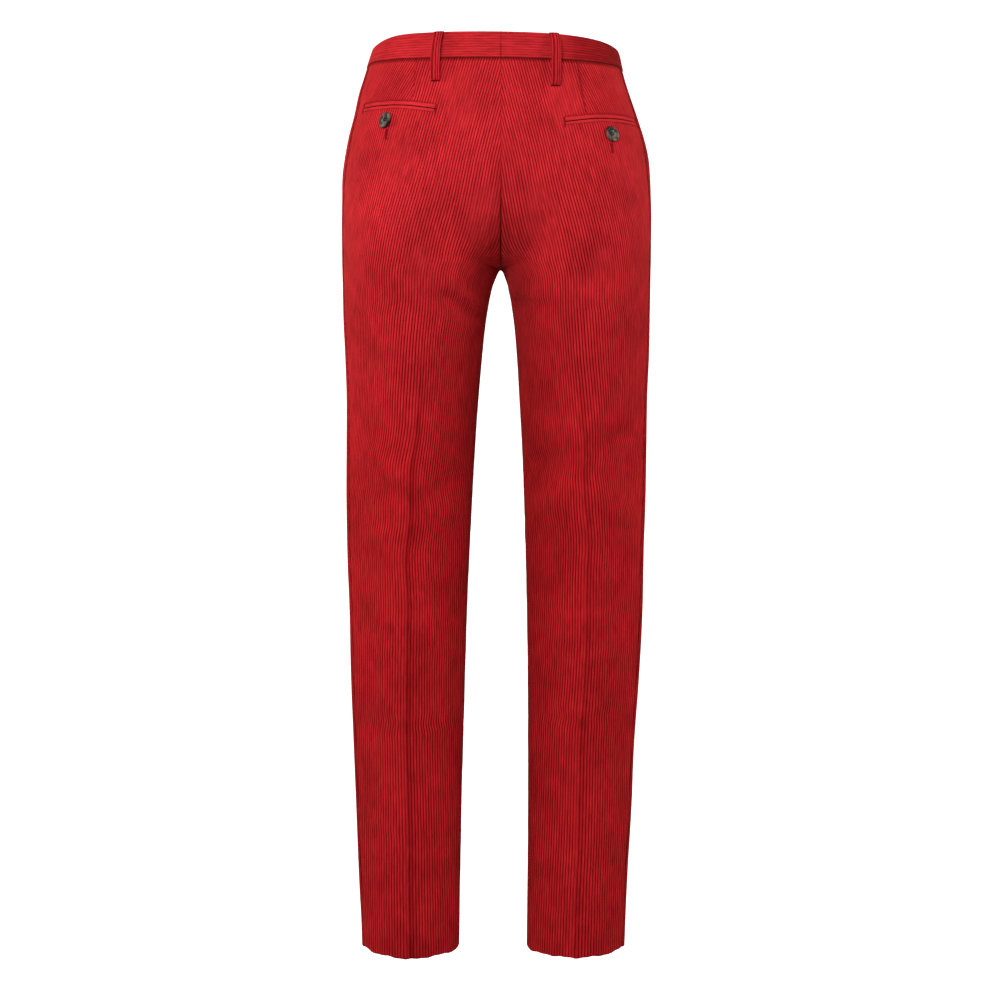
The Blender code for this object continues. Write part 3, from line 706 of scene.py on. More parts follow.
def fork(around, level):
    """Give how far the seat has turned into the legs: 0 in the seat, 1 at the crotch and below.

    Along the centre seams it follows a quarter of an ellipse from FORK_TOP. From the creases outwards it
    is a long soft step from SEAT_TURN.
    """
    rise = clamp((level - CROTCH) / (FORK_TOP - CROTCH))
    curved = 1.0 - np.sqrt(clamp(1.0 - (1.0 - rise) ** 2))
    soft = ease((SEAT_TURN - level) / (SEAT_TURN - CROTCH))
    crease = np.where(around > 0, CREASE_BACK, -CREASE_FRONT)
    near = ease((np.abs(around) - crease) / (FORK_NEAR - crease))
    return soft + (curved - soft) * near


def ring(angle, square):
    """Give a rounded ring's shares at an angle: cosine and sine, squared off by those of three times it."""
    across = (np.cos(angle) - square * np.cos(3 * angle)) / (1 - square)
    along = (np.sin(angle) + square * np.sin(3 * angle)) / (1 - square)
    return across, along


def raise_folds(points, outward, around):
    """Move points out or in where the folds run, and leave the seams where they are.

    A fold's height falls off from its line as the bell curve of the distance over its half width.
    """
    for face, folds in FOLDS:
        held = clamp(FOLD_FADE * np.sin(math.pi * around * FACES[face]))
        for x_start, z_start, x_end, z_end, half_width, height in zip(*folds.values()):
            start = np.array([x_start, z_start])
            run = np.array([x_end, z_end]) - start
            place = points[..., [0, 2]] - start
            share = clamp(place @ run / (run @ run))
            distance = np.linalg.norm(place - share[..., None] * run, axis=-1)
            points = points + outward * (held * bell(distance, half_width) * height)[..., None]
    return points


def surface(side, around, level):
    """Give the cloth's outer points on one side, before its folds, with the level directions outwards.

    The seat is one ring round the whole body and each leg a ring of its own; the two are mixed by the fork.
    """
    around, level = matched(around, level)
    name = side_name(side)
    outer = read(SECTIONS, name, level)
    centre = read(SECTIONS, "centre", level)
    behind = read(SECTIONS, "back", level) - centre
    ahead = centre - read(SECTIONS, "front", level)

    seat_angle = SIDE_SEAM + around * np.where(around > 0, QUARTER - SIDE_SEAM, QUARTER + SIDE_SEAM)
    across, along = ring(seat_angle, read(SEAT_FORM, "square", level))
    seat_x = outer * across
    seat_y = along * np.where(along > 0, behind, ahead)
    hollow = read(SEAT_FORM, "cleft", level) * np.exp(-np.abs(seat_x) / CLEFT_SPREAD)
    seat_y = seat_y - np.where(along > 0, hollow, 0.0)

    leg_angle = SIDE_SEAM + around * np.where(around > 0, math.pi - SIDE_SEAM, math.pi + SIDE_SEAM)
    across, along = ring(leg_angle, read(LEG_FORM, "square", level))
    away = ARCH_SOFTNESS * ease((1 - np.abs(around)) / ARCH_FADE)
    drop = (CROTCH - level + np.sqrt((CROTCH - level) ** 2 + away ** 2)) / 2
    inner = read(LEG_FORM, "spread_" + name, level) * np.sqrt(drop)
    leg_x = (outer + inner) / 2 + (outer - inner) / 2 * across
    turn = np.where(around > 0, np.radians(read(LEG_FORM, "turn_" + name, level)), 0.0)
    from_crease = np.abs(np.abs(leg_angle) - QUARTER - turn)
    ridge = read(LEG_FORM, "crease", level) * np.exp(-from_crease / CREASE_SPREAD)
    leg_y = along * np.where(along > 0, behind, ahead) + np.sign(along) * ridge

    share = fork(around, level)
    x = (1 - share) * seat_x + share * leg_x
    y = (1 - share) * seat_y + share * leg_y + centre
    points = np.stack([side * x, y, level], axis=-1)
    outward = np.stack([
        side * ((1 - share) * np.cos(seat_angle) + share * np.cos(leg_angle)),
        (1 - share) * np.sin(seat_angle) + share * np.sin(leg_angle),
        np.zeros_like(level),
    ], axis=-1)
    return points, unit(outward)


def cloth(side, around, level):
    """Give the cloth's outer points at places on one side, with its folds."""
    points, outward = surface(side, around, level)
    return raise_folds(points, outward, around)


def facing(side, around, level):
    """Give the points at places and their true normals, which are square to the surface's two slopes."""
    around, level = matched(around, level)
    turned = cloth(side, around + SLOPE_STEP, level) - cloth(side, around - SLOPE_STEP, level)
    raised = cloth(side, around, level + SLOPE_STEP) - cloth(side, around, level - SLOPE_STEP)
    return cloth(side, around, level), unit(side * np.cross(turned, raised))


def waist_seam(side, around):
    """Give the level of the waistband's lower seam."""
    return read(BAND_EDGES, "seam_" + side_name(side), around)


def hem_wave(side, around, rows):
    """Give how far the hem's edge rises at its last rows.

    It is a constant and two sine waves, with a lift at both corners, less a cut sine wave behind.
    """
    ripples = (height * np.sin(times * around + turn * side) for height, times, turn in HEM_RIPPLES)
    wave = HEM_WAVE * sum(ripples, start=HEM_MEAN)
    away = np.abs(around)
    corners = ease(1 - away / HEM_OUTER_CORNER) + ease((away - (1 - HEM_INNER_CORNER)) / HEM_INNER_CORNER)
    drop = np.minimum(np.sin(math.pi * around), HEM_LOWEST[side])
    return (wave + HEM_CORNER * corners - HEM_DROP * drop) * ease((rows - 4 + HEM_ROWS) / HEM_ROWS)[:, None]


def find_around(side, face, x, level):
    """Find the places round one side that lie x from the middle: trial places are read back at x."""
    trial = np.linspace(1.0, 0.0, TRIALS) * FACES[face]
    reach = np.abs(surface(side, trial, level[:, None])[0][..., 0])
    return lookup(x[:, None], np.maximum.accumulate(reach, axis=1), trial)[:, 0]


def place_on(side, face, x, level):
    """Give points and normals of the cloth at distances x from the middle."""
    x, level = matched(x, level)
    around = find_around(side, face, x.ravel(), level.ravel())
    points, normals = facing(side, around, level.ravel())
    return points.reshape(*x.shape, 3), normals.reshape(*x.shape, 3)


def row_level(side, row, around):
    """Give the level of a leg panel's rows at places round it; rows slant where the seat turns under."""
    row, around = matched(row, around)
    slant = np.abs(around) ** SLANT
    seam = waist_seam(side, around)
    seat = seam + (FORK_TOP - seam) * row
    turn = clamp(row - 1)
    under = CROTCH + (FORK_TOP - CROTCH) * ((1 - turn) + (turn - np.sin(turn * QUARTER)) * slant)
    drop = clamp(row - 2)
    arch = CROTCH - ARCH_HEIGHT * (drop + (drop ** 2 - drop) * slant)
    knee = CROTCH - ARCH_HEIGHT
    return np.select([row < 1, row < 2, row < 3], [seat, under, arch], knee + (HEM - knee) * (row - 3))


# Meshes


def corners_of(index):
    """Give the four corners of each cell of a grid of point numbers."""
    return index[..., :-1, :-1], index[..., :-1, 1:], index[..., 1:, 1:], index[..., 1:, :-1]


def grid_faces(index):
    """Give the triangles of a grid of point numbers, without those that have shrunk to nothing."""
    a, b, c, d = (corner.ravel() for corner in corners_of(index))
    faces = np.concatenate([np.stack([a, b, c], axis=1), np.stack([a, c, d], axis=1)])
    return faces[(faces != np.roll(faces, 1, axis=1)).all(axis=1)]


def zip_faces(first, first_at, second, second_at):
    """Join two runs of points: each step of one run meets the point of the other that lies beside it."""
    first_middle = (first_at[1:] + first_at[:-1]) / 2
    second_middle = (second_at[1:] + second_at[:-1]) / 2
    meets = np.searchsorted(second_middle, first_middle)
    split = np.searchsorted(meets, np.arange(len(second) - 1), side="right")
    return np.concatenate([
        np.stack([first[:-1], first[1:], second[meets]], axis=1),
        np.stack([first[split], second[1:], second[:-1]], axis=1),
    ])


def piece(name, points, faces, finish, nodes=(), grain=None, rise=None, shade=None):
    """Make one piece of the garment from its points and faces, and attach it to the root body."""
    mesh = bpy.data.meshes.new(name)
    mesh.from_pydata(points, [], faces)
    work = bmesh.new()
    work.from_mesh(mesh)
    bmesh.ops.recalc_face_normals(work, faces=work.faces)
    if work.calc_volume(signed=True) < 0:
        bmesh.ops.reverse_faces(work, faces=work.faces)
    work.to_mesh(mesh)
    work.free()
    mesh.shade_smooth()
    for key, values, plain in (("rise", rise, 0.5), ("shade", shade, 0.0)):
        made = mesh.attributes.new(key, "FLOAT", "POINT")
        values = np.full(len(points), plain) if values is None else values
        made.data.foreach_set("value", np.asarray(values, np.float32))
    if grain is not None:
        corners = np.empty(len(mesh.loops), np.int32)
        mesh.loops.foreach_get("vertex_index", corners)
        mesh.uv_layers.new(name="Grain").data.foreach_set("uv", grain[corners].astype(np.float32).ravel())
    mesh.materials.append(finish)
    made = bpy.data.objects.new(name, mesh)
    bpy.context.scene.collection.objects.link(made)
    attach(made, "root")
    if nodes:
        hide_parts(*nodes)
    return made


def tube_grid(points):
    """Give the faces of a grid whose rows are closed sections, with a cap at each end."""
    index = np.arange(points[..., 0].size).reshape(points.shape[:2])
    closed = np.concatenate([index, index[:, :1]], axis=1)
    return grid_faces(closed).tolist() + [index[0].tolist(), index[-1].tolist()]


def swept(name, points, finish, nodes, grain, rise, shade):
    """Make a strip out of a grid whose rows are its closed sections."""
    rise, shade = (np.broadcast_to(values, points.shape[:2]).ravel() for values in (rise, shade))
    return piece(name, points.reshape(-1, 3), tube_grid(points), finish, nodes, grain=grain.reshape(-1, 2),
                 rise=rise, shade=shade)


# Leg panels


def panel_rows(face):
    """Give a leg panel's rows."""
    return np.concatenate([*SEAT_ROWS[face], *LEG_ROWS])


def cut(side, face):
    """Measure a panel along its rows: lengths from the centre or inner seam, and where the grain line runs.

    Lengths are level ones, square to the wales. Between the crease and the centre seam the depth counts
    for less, so the wales run straight over the seat.
    """
    edge = FACES[face]
    rows = panel_rows(face)
    around = np.linspace(edge, 0.0, TRIALS)
    points = cloth(side, around, row_level(side, rows[:, None], around))
    crease = CREASE_BACK if face == "back" else CREASE_FRONT
    along, aside = np.diff(points[..., 0], axis=1), np.diff(points[..., 1], axis=1)
    inward = np.abs(around[1:]) > abs(crease)
    freed = ease((rows[:, None] - HOLD_END[0]) / HOLD_END[1])
    held = np.where(inward, SEAT_HOLD + (1 - SEAT_HOLD) * freed, 1.0)
    steps = np.hypot(along, aside * held)
    run = np.concatenate([np.zeros((len(steps), 1)), np.cumsum(steps, axis=1)], axis=1)
    if face == "back":
        turn = np.radians(read(LEG_FORM, "turn_" + side_name(side), row_level(side, rows, crease)))
        crease = crease + turn / (math.pi - SIDE_SEAM)
    column = np.broadcast_to((1 - crease / edge) * (TRIALS - 1), rows.shape)
    low = column.astype(int)
    each = np.arange(len(rows))
    reach = np.maximum.accumulate(np.abs(points[..., 0]), axis=1) + np.arange(TRIALS) * LEAST_STEP
    at_crease = reach[each, low] + (reach[each, low + 1] - reach[each, low]) * (column - low)
    seat_line = read(GRAIN, f"{face}_{side_name(side)}", rows)
    line = seat_line + (at_crease - seat_line) * ease((rows - CREASE_JOIN[0]) / CREASE_JOIN[1])
    grain_line = lookup(line[:, None], reach, run)[:, 0]
    return around, run, grain_line, lengths(points[:, TRIALS // 2])


def wale_columns(low, high, pitch):
    """Give the places across the grain of four points to each wale, and how high each stands."""
    whole = np.arange(math.floor(low / pitch), math.ceil(high / pitch) + 1)
    return ((whole[:, None] + WALE_PLACES - 0.5) * pitch).ravel(), np.tile(WALE_RISE, len(whole))


def sway(side, level, share):
    """Give how far the wales swing aside at levels and shares of the panel's width: bell curves added up."""
    total = np.zeros(share.shape)
    for at, across, half_height, half_width, shift in zip(*SWAYS[side_name(side)].values()):
        total += shift * bell(level - at, half_height) * bell(share - across, half_width)
    return total * np.sin(math.pi * share)


def crushed(points):
    """Give how far the pile is crushed, from 0 to 1, in soft uneven patches.

    Two pairs of sine waves over the cloth are multiplied and added up. The two sides are out of step.
    """
    x = np.abs(points[..., 0]) + CRUSH_OFFSET * np.sign(points[..., 0])
    z = points[..., 2]
    broad, small = (
        math.prod(np.sin(across * x + down * z + start) for across, down, start in pair)
        for pair in CRUSH_WAVES
    )
    return ease((broad + CRUSH_SMALL * small - CRUSH_FROM) / CRUSH_RANGE)


def worn(face, rows, share):
    """Give how far the pile is worn flat: over the seat, and more so at its sides and down the thighs."""
    if face == "front":
        return np.zeros(share.shape)
    aside = ease((share - WORN_FROM) / WORN_OVER) * np.interp(rows, WORN_ROWS, WORN_SHARES)
    return np.maximum(aside, SEAT_WORN * (1 - ease(rows - SEAT_WORN_END)))


def pocket_press(points, name):
    """Give how a back pocket presses a panel: how deep, how flat the wales get and how dark they turn.

    Bell curves across the slit push it in. Above the upper jet the turned edge stands as a soft ridge.
    The slit and the line of stitches above it get painted shade.
    """
    slit = POCKETS[name]
    x = np.abs(points[..., 0])
    above = points[..., 2] - read(slit, "level", x)
    inside = ease((x - slit["x"][0]) / SLIT_FADE + 0.5) * ease((slit["x"][-1] - x) / SLIT_FADE + 0.5)
    top = JET_SLIT / 2 + JET_HEIGHTS["upper"]
    foot = JET_SLIT / 2 + JET_HEIGHTS["lower"]
    opened = bell(above, PRESS_SPREAD)
    ridge = bell(above - top - RIDGE_ABOVE, PRESS_SPREAD)
    stitched = bell(above - top - STITCH_ABOVE, STITCH_SPREAD)
    covered = ease((above + foot - COVER_INSET) / COVER_FADE) * ease((top + COVER_FADE - above) / COVER_FADE)
    sink = inside * (PRESS_DEPTH * opened - PRESS_RIDGE * ridge + STITCH_DEPTH * stitched)
    flat = inside * clamp(covered + RIDGE_FLAT * ridge)
    return sink, flat, inside * np.maximum(opened, STITCH_SHADE * stitched)


def close_dart(name, rows, place):
    """Take up the cloth of a back dart: give the places that are left and how far its seam rolls in."""
    dart = DARTS[name]
    keys = ("reach", "width", "depth")
    reach, width, depth = (np.interp(rows, dart["row"], dart[key])[:, None] for key in keys)
    place = np.where(place > reach, np.maximum(reach, place - width), place)
    return place, depth * clamp(width / DART_FULL) * fade(np.abs(place - reach), DART_ROLL)


def lining(side, face, rows, columns):
    """Give the points of a panel's inner face, which sinks with the back pocket and thickens at the hem."""
    level = row_level(side, rows[:, None], columns)
    points, normals = facing(side, columns, level)
    hem = clamp((HEM + HEM_TURNING - level) / TURNING_FADE)
    if face == "back":
        points = points - normals * pocket_press(points, side_name(side))[0].clip(0.0)[..., None]
    points = points - normals * (PANEL_THICKNESS + (HEM_THICKNESS - PANEL_THICKNESS) * hem)[..., None]
    points[-1, :, 2] = HEM
    points[..., 2] += hem_wave(side, columns, rows)
    return points


def leg_panel(settings, finish, face, side):
    """Make one leg panel: its wales run down the grain and end where a seam or the dart cuts them.

    Each row is laid out by its length: a wale lies at the grain line plus its own distance across the
    grain, held between the seams. It stands out along the normal by the wale height times its rise, and
    the cloth rolls in at the seams and the hem.
    """
    name = side_name(side)
    edge = FACES[face]
    rows = panel_rows(face)
    row = rows[:, None]
    fine, run, grain_line, down = cut(side, face)
    grain_line = grain_line[:, None]
    total = run[:, -1:]
    spread = read(GRAIN, "spread", row)
    low, high = (-grain_line / spread).min(), ((total - grain_line + DART_ROOM) / spread).max()
    grain, rise = wale_columns(low, high, settings.wale_pitch)
    place = grain_line + grain * spread
    dart_roll = 0.0
    if face == "back":
        place, dart_roll = close_dart(name, rows, place)
    place = np.clip(place, 0.0, total)
    new = np.ones(place.shape, bool)
    new[:, 1:] = np.diff(place, axis=1) > LEAST_CELL
    level = row_level(side, rows, edge / 2)[:, None]
    around = lookup(place + sway(side, level, place / total), run, fine)
    points, normals = facing(side, around, row_level(side, row, around))

    leg = ease(row - 2)
    centre, outer = fade(place, SEAM_ROLL), fade(total - place, SEAM_ROLL)
    firm = SEAT_FIRM + (1 - SEAT_FIRM) * ease((row - FIRM_JOIN[0]) / FIRM_JOIN[1])
    tucked, turned = fade(down[:, None], WAIST_ROLL), fade((down[-1] - down)[:, None], HEM_ROLL)
    rolled = np.maximum(np.maximum(centre * firm, outer), np.maximum(tucked, dart_roll))
    press, flat, dark = pocket_press(points, name) if face == "back" else (0.0, 0.0, 0.0)
    patchy = (PATCHY_SEAT - PATCHY_LESS * leg) * crushed(points)
    crush = 1 - (1 - patchy) * (1 - worn(face, row, place / total))
    beside = side * edge * (grain_line - place)
    pressed = ease((PRESS_TOP - level) / PRESS_FADE) * bell(beside, PRESS_WIDTH)
    crush = np.maximum(crush, PRESS_FLAT * pressed)
    tall = settings.wale_height * (1 + LEG_TALLER * leg)
    height = tall * rise * (1 - rolled) * (1 - turned) * (1 - flat) * (1 - CRUSH_LOSS * crush)
    sink = SEAM_SINK * rolled ** 2 + HEM_THICKNESS / 2 * (1 - np.sqrt(1 - turned ** 2)) + press
    shift = normals * (height - sink)[..., None]
    shift[..., 0] *= 1 - centre * (row < 2)
    points = points + shift
    points[..., 2] += hem_wave(side, around, rows)

    # Painted shade along the inner seams, and on the front panels beside the side seams
    inner = INNER_PAINTED_SHADE * leg * fade(place, INNER_WIDTH)
    seam = SIDE_PAINTED_SHADE * (1 - SIDE_LESS * leg) * ease(2.0 - 2.0 * (total - place) / SIDE_WIDTH)
    seam = seam * (face == "front")
    # Painted shade on one side of each crease and a painted highlight on the other
    laid = PRESS_PAINTED_SHADE[side] * pressed * ((1 + PRESS_PAINTED_HIGHLIGHT) * ease(beside / PRESS_EDGE + 0.5) - PRESS_PAINTED_HIGHLIGHT)
    # Painted shade below a soft step a little above the hem
    painted_darkening = HEM_PAINTED_SHADE * ease((HEM + HEM_STEP_ABOVE - level) / HEM_STEP_FADE)
    # Painted shade: in the rolled seams and darts, in the pocket's slit and along its stitches, and all the
    # painted shade above
    shade = np.maximum(np.maximum(rolled ** 2, dark), np.maximum(inner, seam) + laid + painted_darkening)
    shown = (rise + CRUSH_TONE * crush * (EVEN_RISE - rise)) * (1 - FLAT_TONE * flat)
    shown = np.where((place < LEAST_CELL) & (row < CENTRE_END), CENTRE_RISE, shown)

    lined = np.unique(np.append(np.arange(0, len(rows), LINING_STEP), len(rows) - 1))
    columns = np.linspace(edge, 0.0, LINING_COLUMNS)
    inside = lining(side, face, rows[lined], columns)
    outer_index = np.cumsum(new.ravel()).reshape(place.shape) - 1
    inner_index = outer_index.max() + 1 + np.arange(inside[..., 0].size).reshape(inside.shape[:2])
    share, inner_share = 1 - around / edge, 1 - columns / edge
    faces = [grid_faces(outer_index), grid_faces(inner_index)]
    for end in (0, -1):
        here = new[end]
        faces.append(zip_faces(outer_index[end][here], share[end][here], inner_index[end], inner_share))
    for end in (0, -1):
        faces.append(zip_faces(outer_index[:, end], rows, inner_index[:, end], rows[lined]))

    kept = new.ravel()
    maps = chart(grain, down[:, None]), chart(inner_share * total[lined], down[lined][:, None])
    return piece(
        f"leg_{face}_{name}",
        np.concatenate([points.reshape(-1, 3)[kept], inside.reshape(-1, 3)]),
        np.concatenate(faces),
        finish,
        (f"{face}_{name}",),
        grain=np.concatenate([maps[0].reshape(-1, 2)[kept], maps[1].reshape(-1, 2)]),
        rise=np.concatenate([shown.ravel()[kept], np.full(inner_index.size, INSIDE)]),
        shade=np.concatenate([shade.ravel()[kept], np.zeros(inner_index.size)]),
    )


# Waistband


def band_section(settings):
    """Give the waistband's section: its share of the height, how far out it lies and how high its wales rise.

    It goes up the outer face over the wales, round the top edge and down the plain inner face.
    """
    up = np.append((np.arange(BAND_WALES)[:, None] + WALE_PLACES) / BAND_WALES, 1.0)
    rise = np.append(np.tile(WALE_RISE, BAND_WALES), 0.0)
    down = np.linspace(1.0, 0.0, BAND_INNER_STEPS)
    edge, inner_edge = (fade(np.minimum(at, 1 - at) * BAND_HEIGHT, BAND_ROLL) for at in (up, down))
    wales = BAND_SOFTNESS * settings.wale_height * rise * (1 - edge)
    out = BAND_PROUD + wales - BAND_ROLL * (1 - np.sqrt(1 - edge ** 2))
    back = BAND_PROUD - BAND_THICKNESS + BAND_INNER_ROLL * inner_edge
    rise = np.append(1 - BAND_SOFTNESS * (1 - rise), np.full(len(down), INSIDE))
    # Painted shade along the lower seam
    shade = np.append(BAND_SEAM_SHADE * edge ** 2 * (up < 0.5), np.zeros(len(down)))
    return np.append(up, down), np.append(out, back), rise, shade


def band_places(side, around, share):
    """Give points and normals of the cloth at shares of the waistband's height."""
    name = side_name(side)
    top = read(BAND_EDGES, "top_" + name, around)
    seam = read(BAND_EDGES, "seam_" + name, around)
    return facing(side, around, seam + (top - seam) * share)


def waistband(settings, finish, side):
    """Make one half of the waistband; the left half runs on as a tab over the right one."""
    name = side_name(side)
    share, offset, rise, shade = band_section(settings)
    around = BAND_AROUND
    points, normals = band_places(side, around[:, None], share)
    lift = np.zeros(len(around))
    end = fade(1 - np.abs(around), BAND_END)
    # Painted shade over the whole band, and more on its right half
    behind = ease((BAND_SHADE_BACK[0] - around) / BAND_SHADE_BACK[1])
    ahead = ease((around - BAND_SHADE_FRONT[0]) / BAND_SHADE_FRONT[1])
    tone_shift = BAND_PAINTED_SHADE + BAND_RIGHT_PAINTED_SHADE * behind * ahead * (side == RIGHT)
    if side == LEFT:
        lift = TAB_LIFT * ease(1.0 - np.abs(points[:, 0, 0]) / TAB_BEND) * (around < 0)
        end = end * (around > 0)
        tab_end = find_around(RIGHT, "front", np.array([TAB_LENGTH]), np.array([WAIST_SEAM]))[0]
        other = np.linspace(tab_end, -1.0, TAB_STEPS)[:-1]
        tab_points, tab_normals = band_places(RIGHT, other[:, None], share)
        points = np.concatenate([tab_points, points])
        normals = np.concatenate([tab_normals, normals])
        lift = np.append(np.full(len(other), TAB_LIFT), lift)
        end = np.append(np.arange(len(other)) < 1, end)
        tone_shift = np.append(np.zeros(len(other)), tone_shift)
    thinner = np.where(offset > BAND_FACE, -BAND_END_OUTER, BAND_END_INNER) * (end ** 2)[:, None]
    points = points + normals * (offset + lift[:, None] + thinner)[..., None]
    points[-1, :, 0] = 0.0
    if side == RIGHT:
        points[0, :, 0] = 0.0
    ends = (end ** 2)[:, None] * BAND_END_SHADE * (share < BAND_END_TOP)
    return swept(
        f"waistband_{name}_cloth",
        points,
        finish,
        (f"waistband_{name}",),
        chart(share * BAND_HEIGHT, lengths(points[:, BAND_LINE])[:, None]),
        rise,
        np.maximum(np.maximum(shade, ends), tone_shift[:, None]),
    )


# Strips that lie on the panels


def belt_loop(settings, finish, side, place, around_top, around_foot, foot):
    """Make one belt loop: it leaves the waistband's top edge, stands off and comes back to the panel.

    Its section has four wales between two stitched edges, and its standing off follows a power of a half
    sine.
    """
    name = side_name(side)
    top = read(BAND_EDGES, "top_" + name, around_top) - LOOP_SETBACK
    share = np.linspace(0.0, 1.0, LOOP_STEPS)
    around = around_top + (around_foot - around_top) * share
    level = top + (foot - top) * share
    points, normals = facing(side, around, level)
    on_band = clamp((level - waist_seam(side, around)) / LOOP_STEP_DOWN + 1.0)
    out = REST_GAP + BAND_PROUD * on_band + LOOP_STANDOFF * np.sin(math.pi * share) ** LOOP_FULLNESS
    sideways = unit(np.cross(normals, (0.0, 0.0, 1.0)))
    rise = LOOP_SECTION["rise"]
    section = np.append(LOOP_SECTION["across"], LOOP_SECTION["under"])
    plain = np.zeros(len(LOOP_SECTION["under"]))
    height = np.append(LOOP_THICKNESS + settings.wale_height * (rise - LOOP_MEAN_RISE), plain)
    bow = LOOP_BOW * (1 - (2 * section) ** 2)
    shift = sideways[:, None] * (section * LOOP_WIDTH)[:, None]
    stand = out[:, None] + height + bow - LOOP_SUNK
    return swept(
        f"loop_{place}_{name}",
        points[:, None] + shift + normals[:, None] * stand[..., None],
        finish,
        (f"belt_loop_{place}_{name}",),
        chart(section * LOOP_WIDTH, -level[:, None]),
        np.append(clamp(rise), plain + INSIDE),
        # Painted shade: in the stitch grooves, and over the whole loop
        np.append(np.maximum(clamp(-rise) * LOOP_GROOVE_SHADE, LOOP_PAINTED_SHADE), plain),
    )


def jet(finish, side, edge):
    """Make one jet of a back pocket: a rounded welt, fuller above the slit, that tapers at its two ends."""
    name = side_name(side)
    sign = 1.0 if edge == "upper" else -1.0
    width = JET_HEIGHTS[edge]
    full = STRIP_THICKNESS + JET_FULLER[edge]
    slit = POCKETS[name]
    x = np.linspace(slit["x"][0], slit["x"][-1], JET_STEPS)
    points, normals = place_on(side, "back", x, read(slit, "level", x))
    upward = unit(np.cross(np.gradient(points, axis=0), normals) * -side)
    turn = JET_TURN
    across = np.append(np.cos(turn), JET_UNDER)
    lean = 1.0 - JET_LEAN * (1.0 + sign * np.cos(turn))
    height = np.append(full * np.sin(turn) ** JET_ROUNDNESS * lean, np.full(len(JET_UNDER), -JET_SUNK))
    steps = np.arange(JET_STEPS)
    scale = JET_TAPER + (1 - JET_TAPER) * np.sqrt(clamp(np.minimum(steps, steps[::-1]) / JET_TAPER_STEPS))
    shift = (width + JET_SLIT) / 2 * sign + across * width / 2
    points = points[:, None] + upward[:, None] * shift[:, None]
    points = points + normals[:, None] * (height * scale[:, None])[..., None]
    lip = fade(turn if edge == "lower" else math.pi - turn, JET_LIP)
    return swept(
        f"jet_{edge}_{name}",
        points,
        finish,
        (f"pocket_jet_{edge}_{name}",),
        chart(across * width / 2, lengths(points[:, len(turn) // 2])[:, None]),
        np.append(0.5 + 0.5 * np.sin(turn), np.zeros(len(JET_UNDER))),
        # Painted shade on the lip along the slit
        np.append(JET_LIP_SHADE * lip, np.ones(len(JET_UNDER))),
    )


def grain_of(side, face, around, level):
    """Give how far across the grain places of a panel lie, read between the panel's own rows and columns."""
    _, run, grain_line, _ = cut(side, face)
    rows = panel_rows(face)
    seam = waist_seam(side, around)
    seat, under = (level - seam) / (FORK_TOP - seam), 1 + (level - FORK_TOP) / (CROTCH - FORK_TOP)
    steps = np.arange(len(rows))
    at = np.interp(np.clip(np.where(level > FORK_TOP, seat, under), 0, 4), rows, steps)
    low = np.clip(at.astype(int), 0, len(rows) - 2)
    between = run[low] + (run[low + 1] - run[low]) * (at - low)[..., None]
    shares = (1 - around / FACES[face]) * (TRIALS - 1)
    column = np.clip(shares.astype(int), 0, TRIALS - 2)
    near = np.take_along_axis(between, column[..., None], -1)[..., 0]
    far = np.take_along_axis(between, column[..., None] + 1, -1)[..., 0]
    length = near + (far - near) * (shares - column)
    return (length - np.interp(at, steps, grain_line)) / np.interp(at, steps, read(GRAIN, "spread", rows))


def wale_rise(grain, pitch):
    """Give how high a wale stands at a distance across the grain: its four heights, joined by straight lines.

    A wale's crown lies on the grain line.
    """
    places = np.append(WALE_PLACES, 1.0)
    return np.interp((grain / pitch + 0.5) % 1.0, places, np.append(WALE_RISE, 0.0))


def overlay(settings, name, node, finish, points, normals, grain, edges, thin=1.0):
    """Make a layer of corduroy that lies on a panel, with the panel's own wales and rolled edges."""
    rise = wale_rise(grain, settings.wale_pitch)
    sunk = fade(edges, STRIP_ROLL)
    height = STRIP_THICKNESS * np.sqrt(1 - sunk ** 2) + settings.wale_height * rise * (1 - sunk)
    high = points + normals * (REST_GAP / 2 + height * thin)[..., None]
    low = points + normals * REST_GAP / 2 * 0.5
    index = np.arange(2 * rise.size).reshape(2, *rise.shape)
    rim = [np.concatenate([part[0, :-1], part[:-1, -1], part[-1, :0:-1], part[:0:-1, 0]]) for part in index]
    band = np.stack([np.append(run, run[0]) for run in rim])
    faces = np.concatenate([grid_faces(index[0]), grid_faces(index[1]), grid_faces(band)])
    maps = chart(grain, lengths(points[:, 0])[:, None]).reshape(-1, 2)
    return piece(name, np.concatenate([high.reshape(-1, 3), low.reshape(-1, 3)]), faces, finish, (node,),
                 grain=np.concatenate([maps, maps]), rise=np.append(rise, np.zeros(rise.size)),
                 # Painted shade along the rolled edges
                 shade=np.append(sunk ** 2, np.ones(rise.size)))


